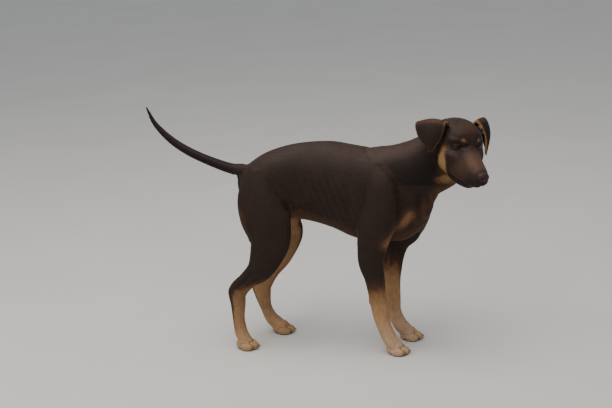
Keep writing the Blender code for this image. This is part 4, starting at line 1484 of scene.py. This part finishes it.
def eye_material():
    """Pupil, brown iris with rays, a dark border and a dim white, under a wet coat."""
    material, t, shader = new_material("eye")
    angle = t.attribute("from_pupil")
    place = t.add("ShaderNodeTexCoord").outputs["Object"]
    rays = t.noise(place, 900.0, 2.0)
    iris = t.mix(rays, colour("190e09"), colour("352013"))
    iris = t.mix(t.ranged(angle, 0.50, 0.62), iris, colour("120b08"))
    white = t.mix(t.ranged(angle, 0.68, 0.84), iris, colour("4a3c35"))
    ball = t.mix(t.ranged(angle, 0.20, 0.24), colour("060404"), white)
    t.feed(shader.inputs["Base Color"], ball)
    shader.inputs["Roughness"].default_value = 0.18
    shader.inputs["Specular IOR Level"].default_value = 0.2
    shader.inputs["Coat Weight"].default_value = 0.4
    shader.inputs["Coat Roughness"].default_value = 0.03
    shader.inputs["Coat IOR"].default_value = 1.36
    return material


def leather_material(name, dark, light, scale, rough, depth):
    """Pebbled bare skin: small cells with a little variation in colour."""
    material, t, shader = new_material(name)
    place = t.add("ShaderNodeTexCoord").outputs["Object"]
    cells = t.add("ShaderNodeTexVoronoi", {"Vector": place, "Scale": scale}).outputs["Distance"]
    cloud = t.noise(place, scale * 0.15, 3.0)
    t.feed(shader.inputs["Base Color"], t.mix(t.ranged(cloud, 0.3, 0.7), dark, light))
    t.feed(shader.inputs["Roughness"], t.ranged(cells, 0.0, 0.8, rough, rough + 0.15))
    bump = t.add("ShaderNodeBump", {"Height": cells, "Strength": 0.6, "Distance": depth}, invert=True)
    shader.inputs["Specular IOR Level"].default_value = 0.32
    t.feed(shader.inputs["Normal"], bump.outputs[0])
    return material


def claw_material():
    """Dark horn with fine streaks."""
    material, t, shader = new_material("claw")
    place = t.add("ShaderNodeTexCoord").outputs["Object"]
    grain = t.noise(place, 900.0, 2.0)
    t.feed(shader.inputs["Base Color"], t.mix(grain, colour("43352c"), colour("6e594a")))
    shader.inputs["Roughness"].default_value = 0.34
    return material


# ---------------------------------------------------------------- stage, camera and lights

CAMERA_PLACE = np.array((0.56443, -2.48120, 1.04206))
CAMERA_RIGHT = unit(np.array((0.97615, 0.21302, -0.04193)))
CAMERA_UP = unit(np.array((-0.01944, 0.27813, 0.96035)))
CAMERA_LENS = 73.53


def stand_place():
    """Where the dog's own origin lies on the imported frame: its right eye against that eye's box."""
    low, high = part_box("right_eye")
    return np.array((low + high) / 2) - placed(EYE * (1, -1, 1), HEAD)


def add_camera(stand):
    """The viewpoint, placed against the dog by its place and its right and up directions."""
    data = bpy.data.cameras.new("camera")
    data.lens = CAMERA_LENS
    data.sensor_width = 36
    camera = bpy.data.objects.new("camera", data)
    bpy.context.scene.collection.objects.link(camera)
    back = np.cross(CAMERA_RIGHT, CAMERA_UP)
    matrix = np.eye(4)
    matrix[:3, :3] = np.column_stack((CAMERA_RIGHT, CAMERA_UP, back))
    matrix[:3, 3] = CAMERA_PLACE + stand
    camera.matrix_world = Matrix(matrix.tolist())
    bpy.context.scene.camera = camera


def add_light(name, place, target, size, power, tint=(1, 1, 1)):
    """A square soft light that faces its target."""
    data = bpy.data.lights.new(name, "AREA")
    data.size = size
    data.energy = power
    data.color = tint
    light = bpy.data.objects.new(name, data)
    bpy.context.scene.collection.objects.link(light)
    light.location = place
    light.rotation_euler = (Vector(target) - Vector(place)).to_track_quat("-Z", "Y").to_euler()


def add_stage():
    """A pale floor, a pale sky and soft lights from above and in front."""
    mesh = bpy.data.meshes.new("floor")
    reach = 30.0
    corners = [(-reach, -reach, 0), (reach, -reach, 0), (reach, reach, 0), (-reach, reach, 0)]
    mesh.from_pydata(corners, [], [(0, 1, 2, 3)])
    floor = bpy.data.objects.new("floor", mesh)
    bpy.context.scene.collection.objects.link(floor)
    material, t, shader = new_material("floor")
    place = t.add("ShaderNodeTexCoord").outputs["Object"]
    t.feed(shader.inputs["Base Color"], t.mix(t.noise(place, 3.0), colour("c9c4bc"), colour("d3cec7")))
    shader.inputs["Roughness"].default_value = 0.9
    mesh.materials.append(material)

    world = bpy.data.worlds.new("sky")
    world.use_nodes = True
    sky = world.node_tree.nodes["Background"]
    sky.inputs["Color"].default_value = (0.86, 0.92, 1.0, 1)
    sky.inputs["Strength"].default_value = 0.55
    bpy.context.scene.world = world
    add_light("overhead", (-0.3, -0.5, 2.6), (0, 0, 0.3), 2.2, 66, (1.0, 0.98, 0.95))
    add_light("front", (-1.3, -2.2, 1.5), (0, 0, 0.3), 1.6, 12)


# ---------------------------------------------------------------- putting it together


def finish_piece(obj, stand, material=None):
    """A piece moved on to the frame, its material and its ride."""
    obj.data.transform(Matrix.Translation(stand.tolist()))
    if material:
        obj.data.materials.clear()
        obj.data.materials.append(material)
    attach(obj, "root")


def main():
    """The stage, the skin and its coat, and then the eyes, rims, nose and claws."""
    stand = stand_place()
    add_camera(stand)
    add_stage()

    group = coat_group()
    skin = build_skin()
    points, normals = read_points(skin.data), read_normals(skin.data)
    mark(skin.data, points, normals, find_places(points))
    for piece in build_coat(skin, coat_material("tufts", group, True)):
        finish_piece(piece, stand)
    finish_piece(skin, stand, coat_material("skin", group, False))

    flesh = [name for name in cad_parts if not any(word in name for word in ("eye", "nose", "claw"))]
    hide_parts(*flesh)

    wet = eye_material()
    bare = leather_material("nose_leather", colour("24130f"), colour("3a211c"), 1500.0, 0.46, 0.00015)
    rim_skin = leather_material("lid_rim", colour("150e0c"), colour("241815"), 2500.0, 0.30, 0.0001)
    for side, word in zip(BOTH, ("right", "left")):
        eye = build_eye(side, word)
        finish_piece(eye, stand, wet)
        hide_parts(f"{word}_eye")
        finish_piece(build_rim(side, word), stand, rim_skin)
    nose = build_nose()
    finish_piece(nose, stand, bare)
    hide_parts("nose")
    claws = build_claws()
    finish_piece(claws, stand, claw_material())
    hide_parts(*[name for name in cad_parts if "claw" in name])


main()
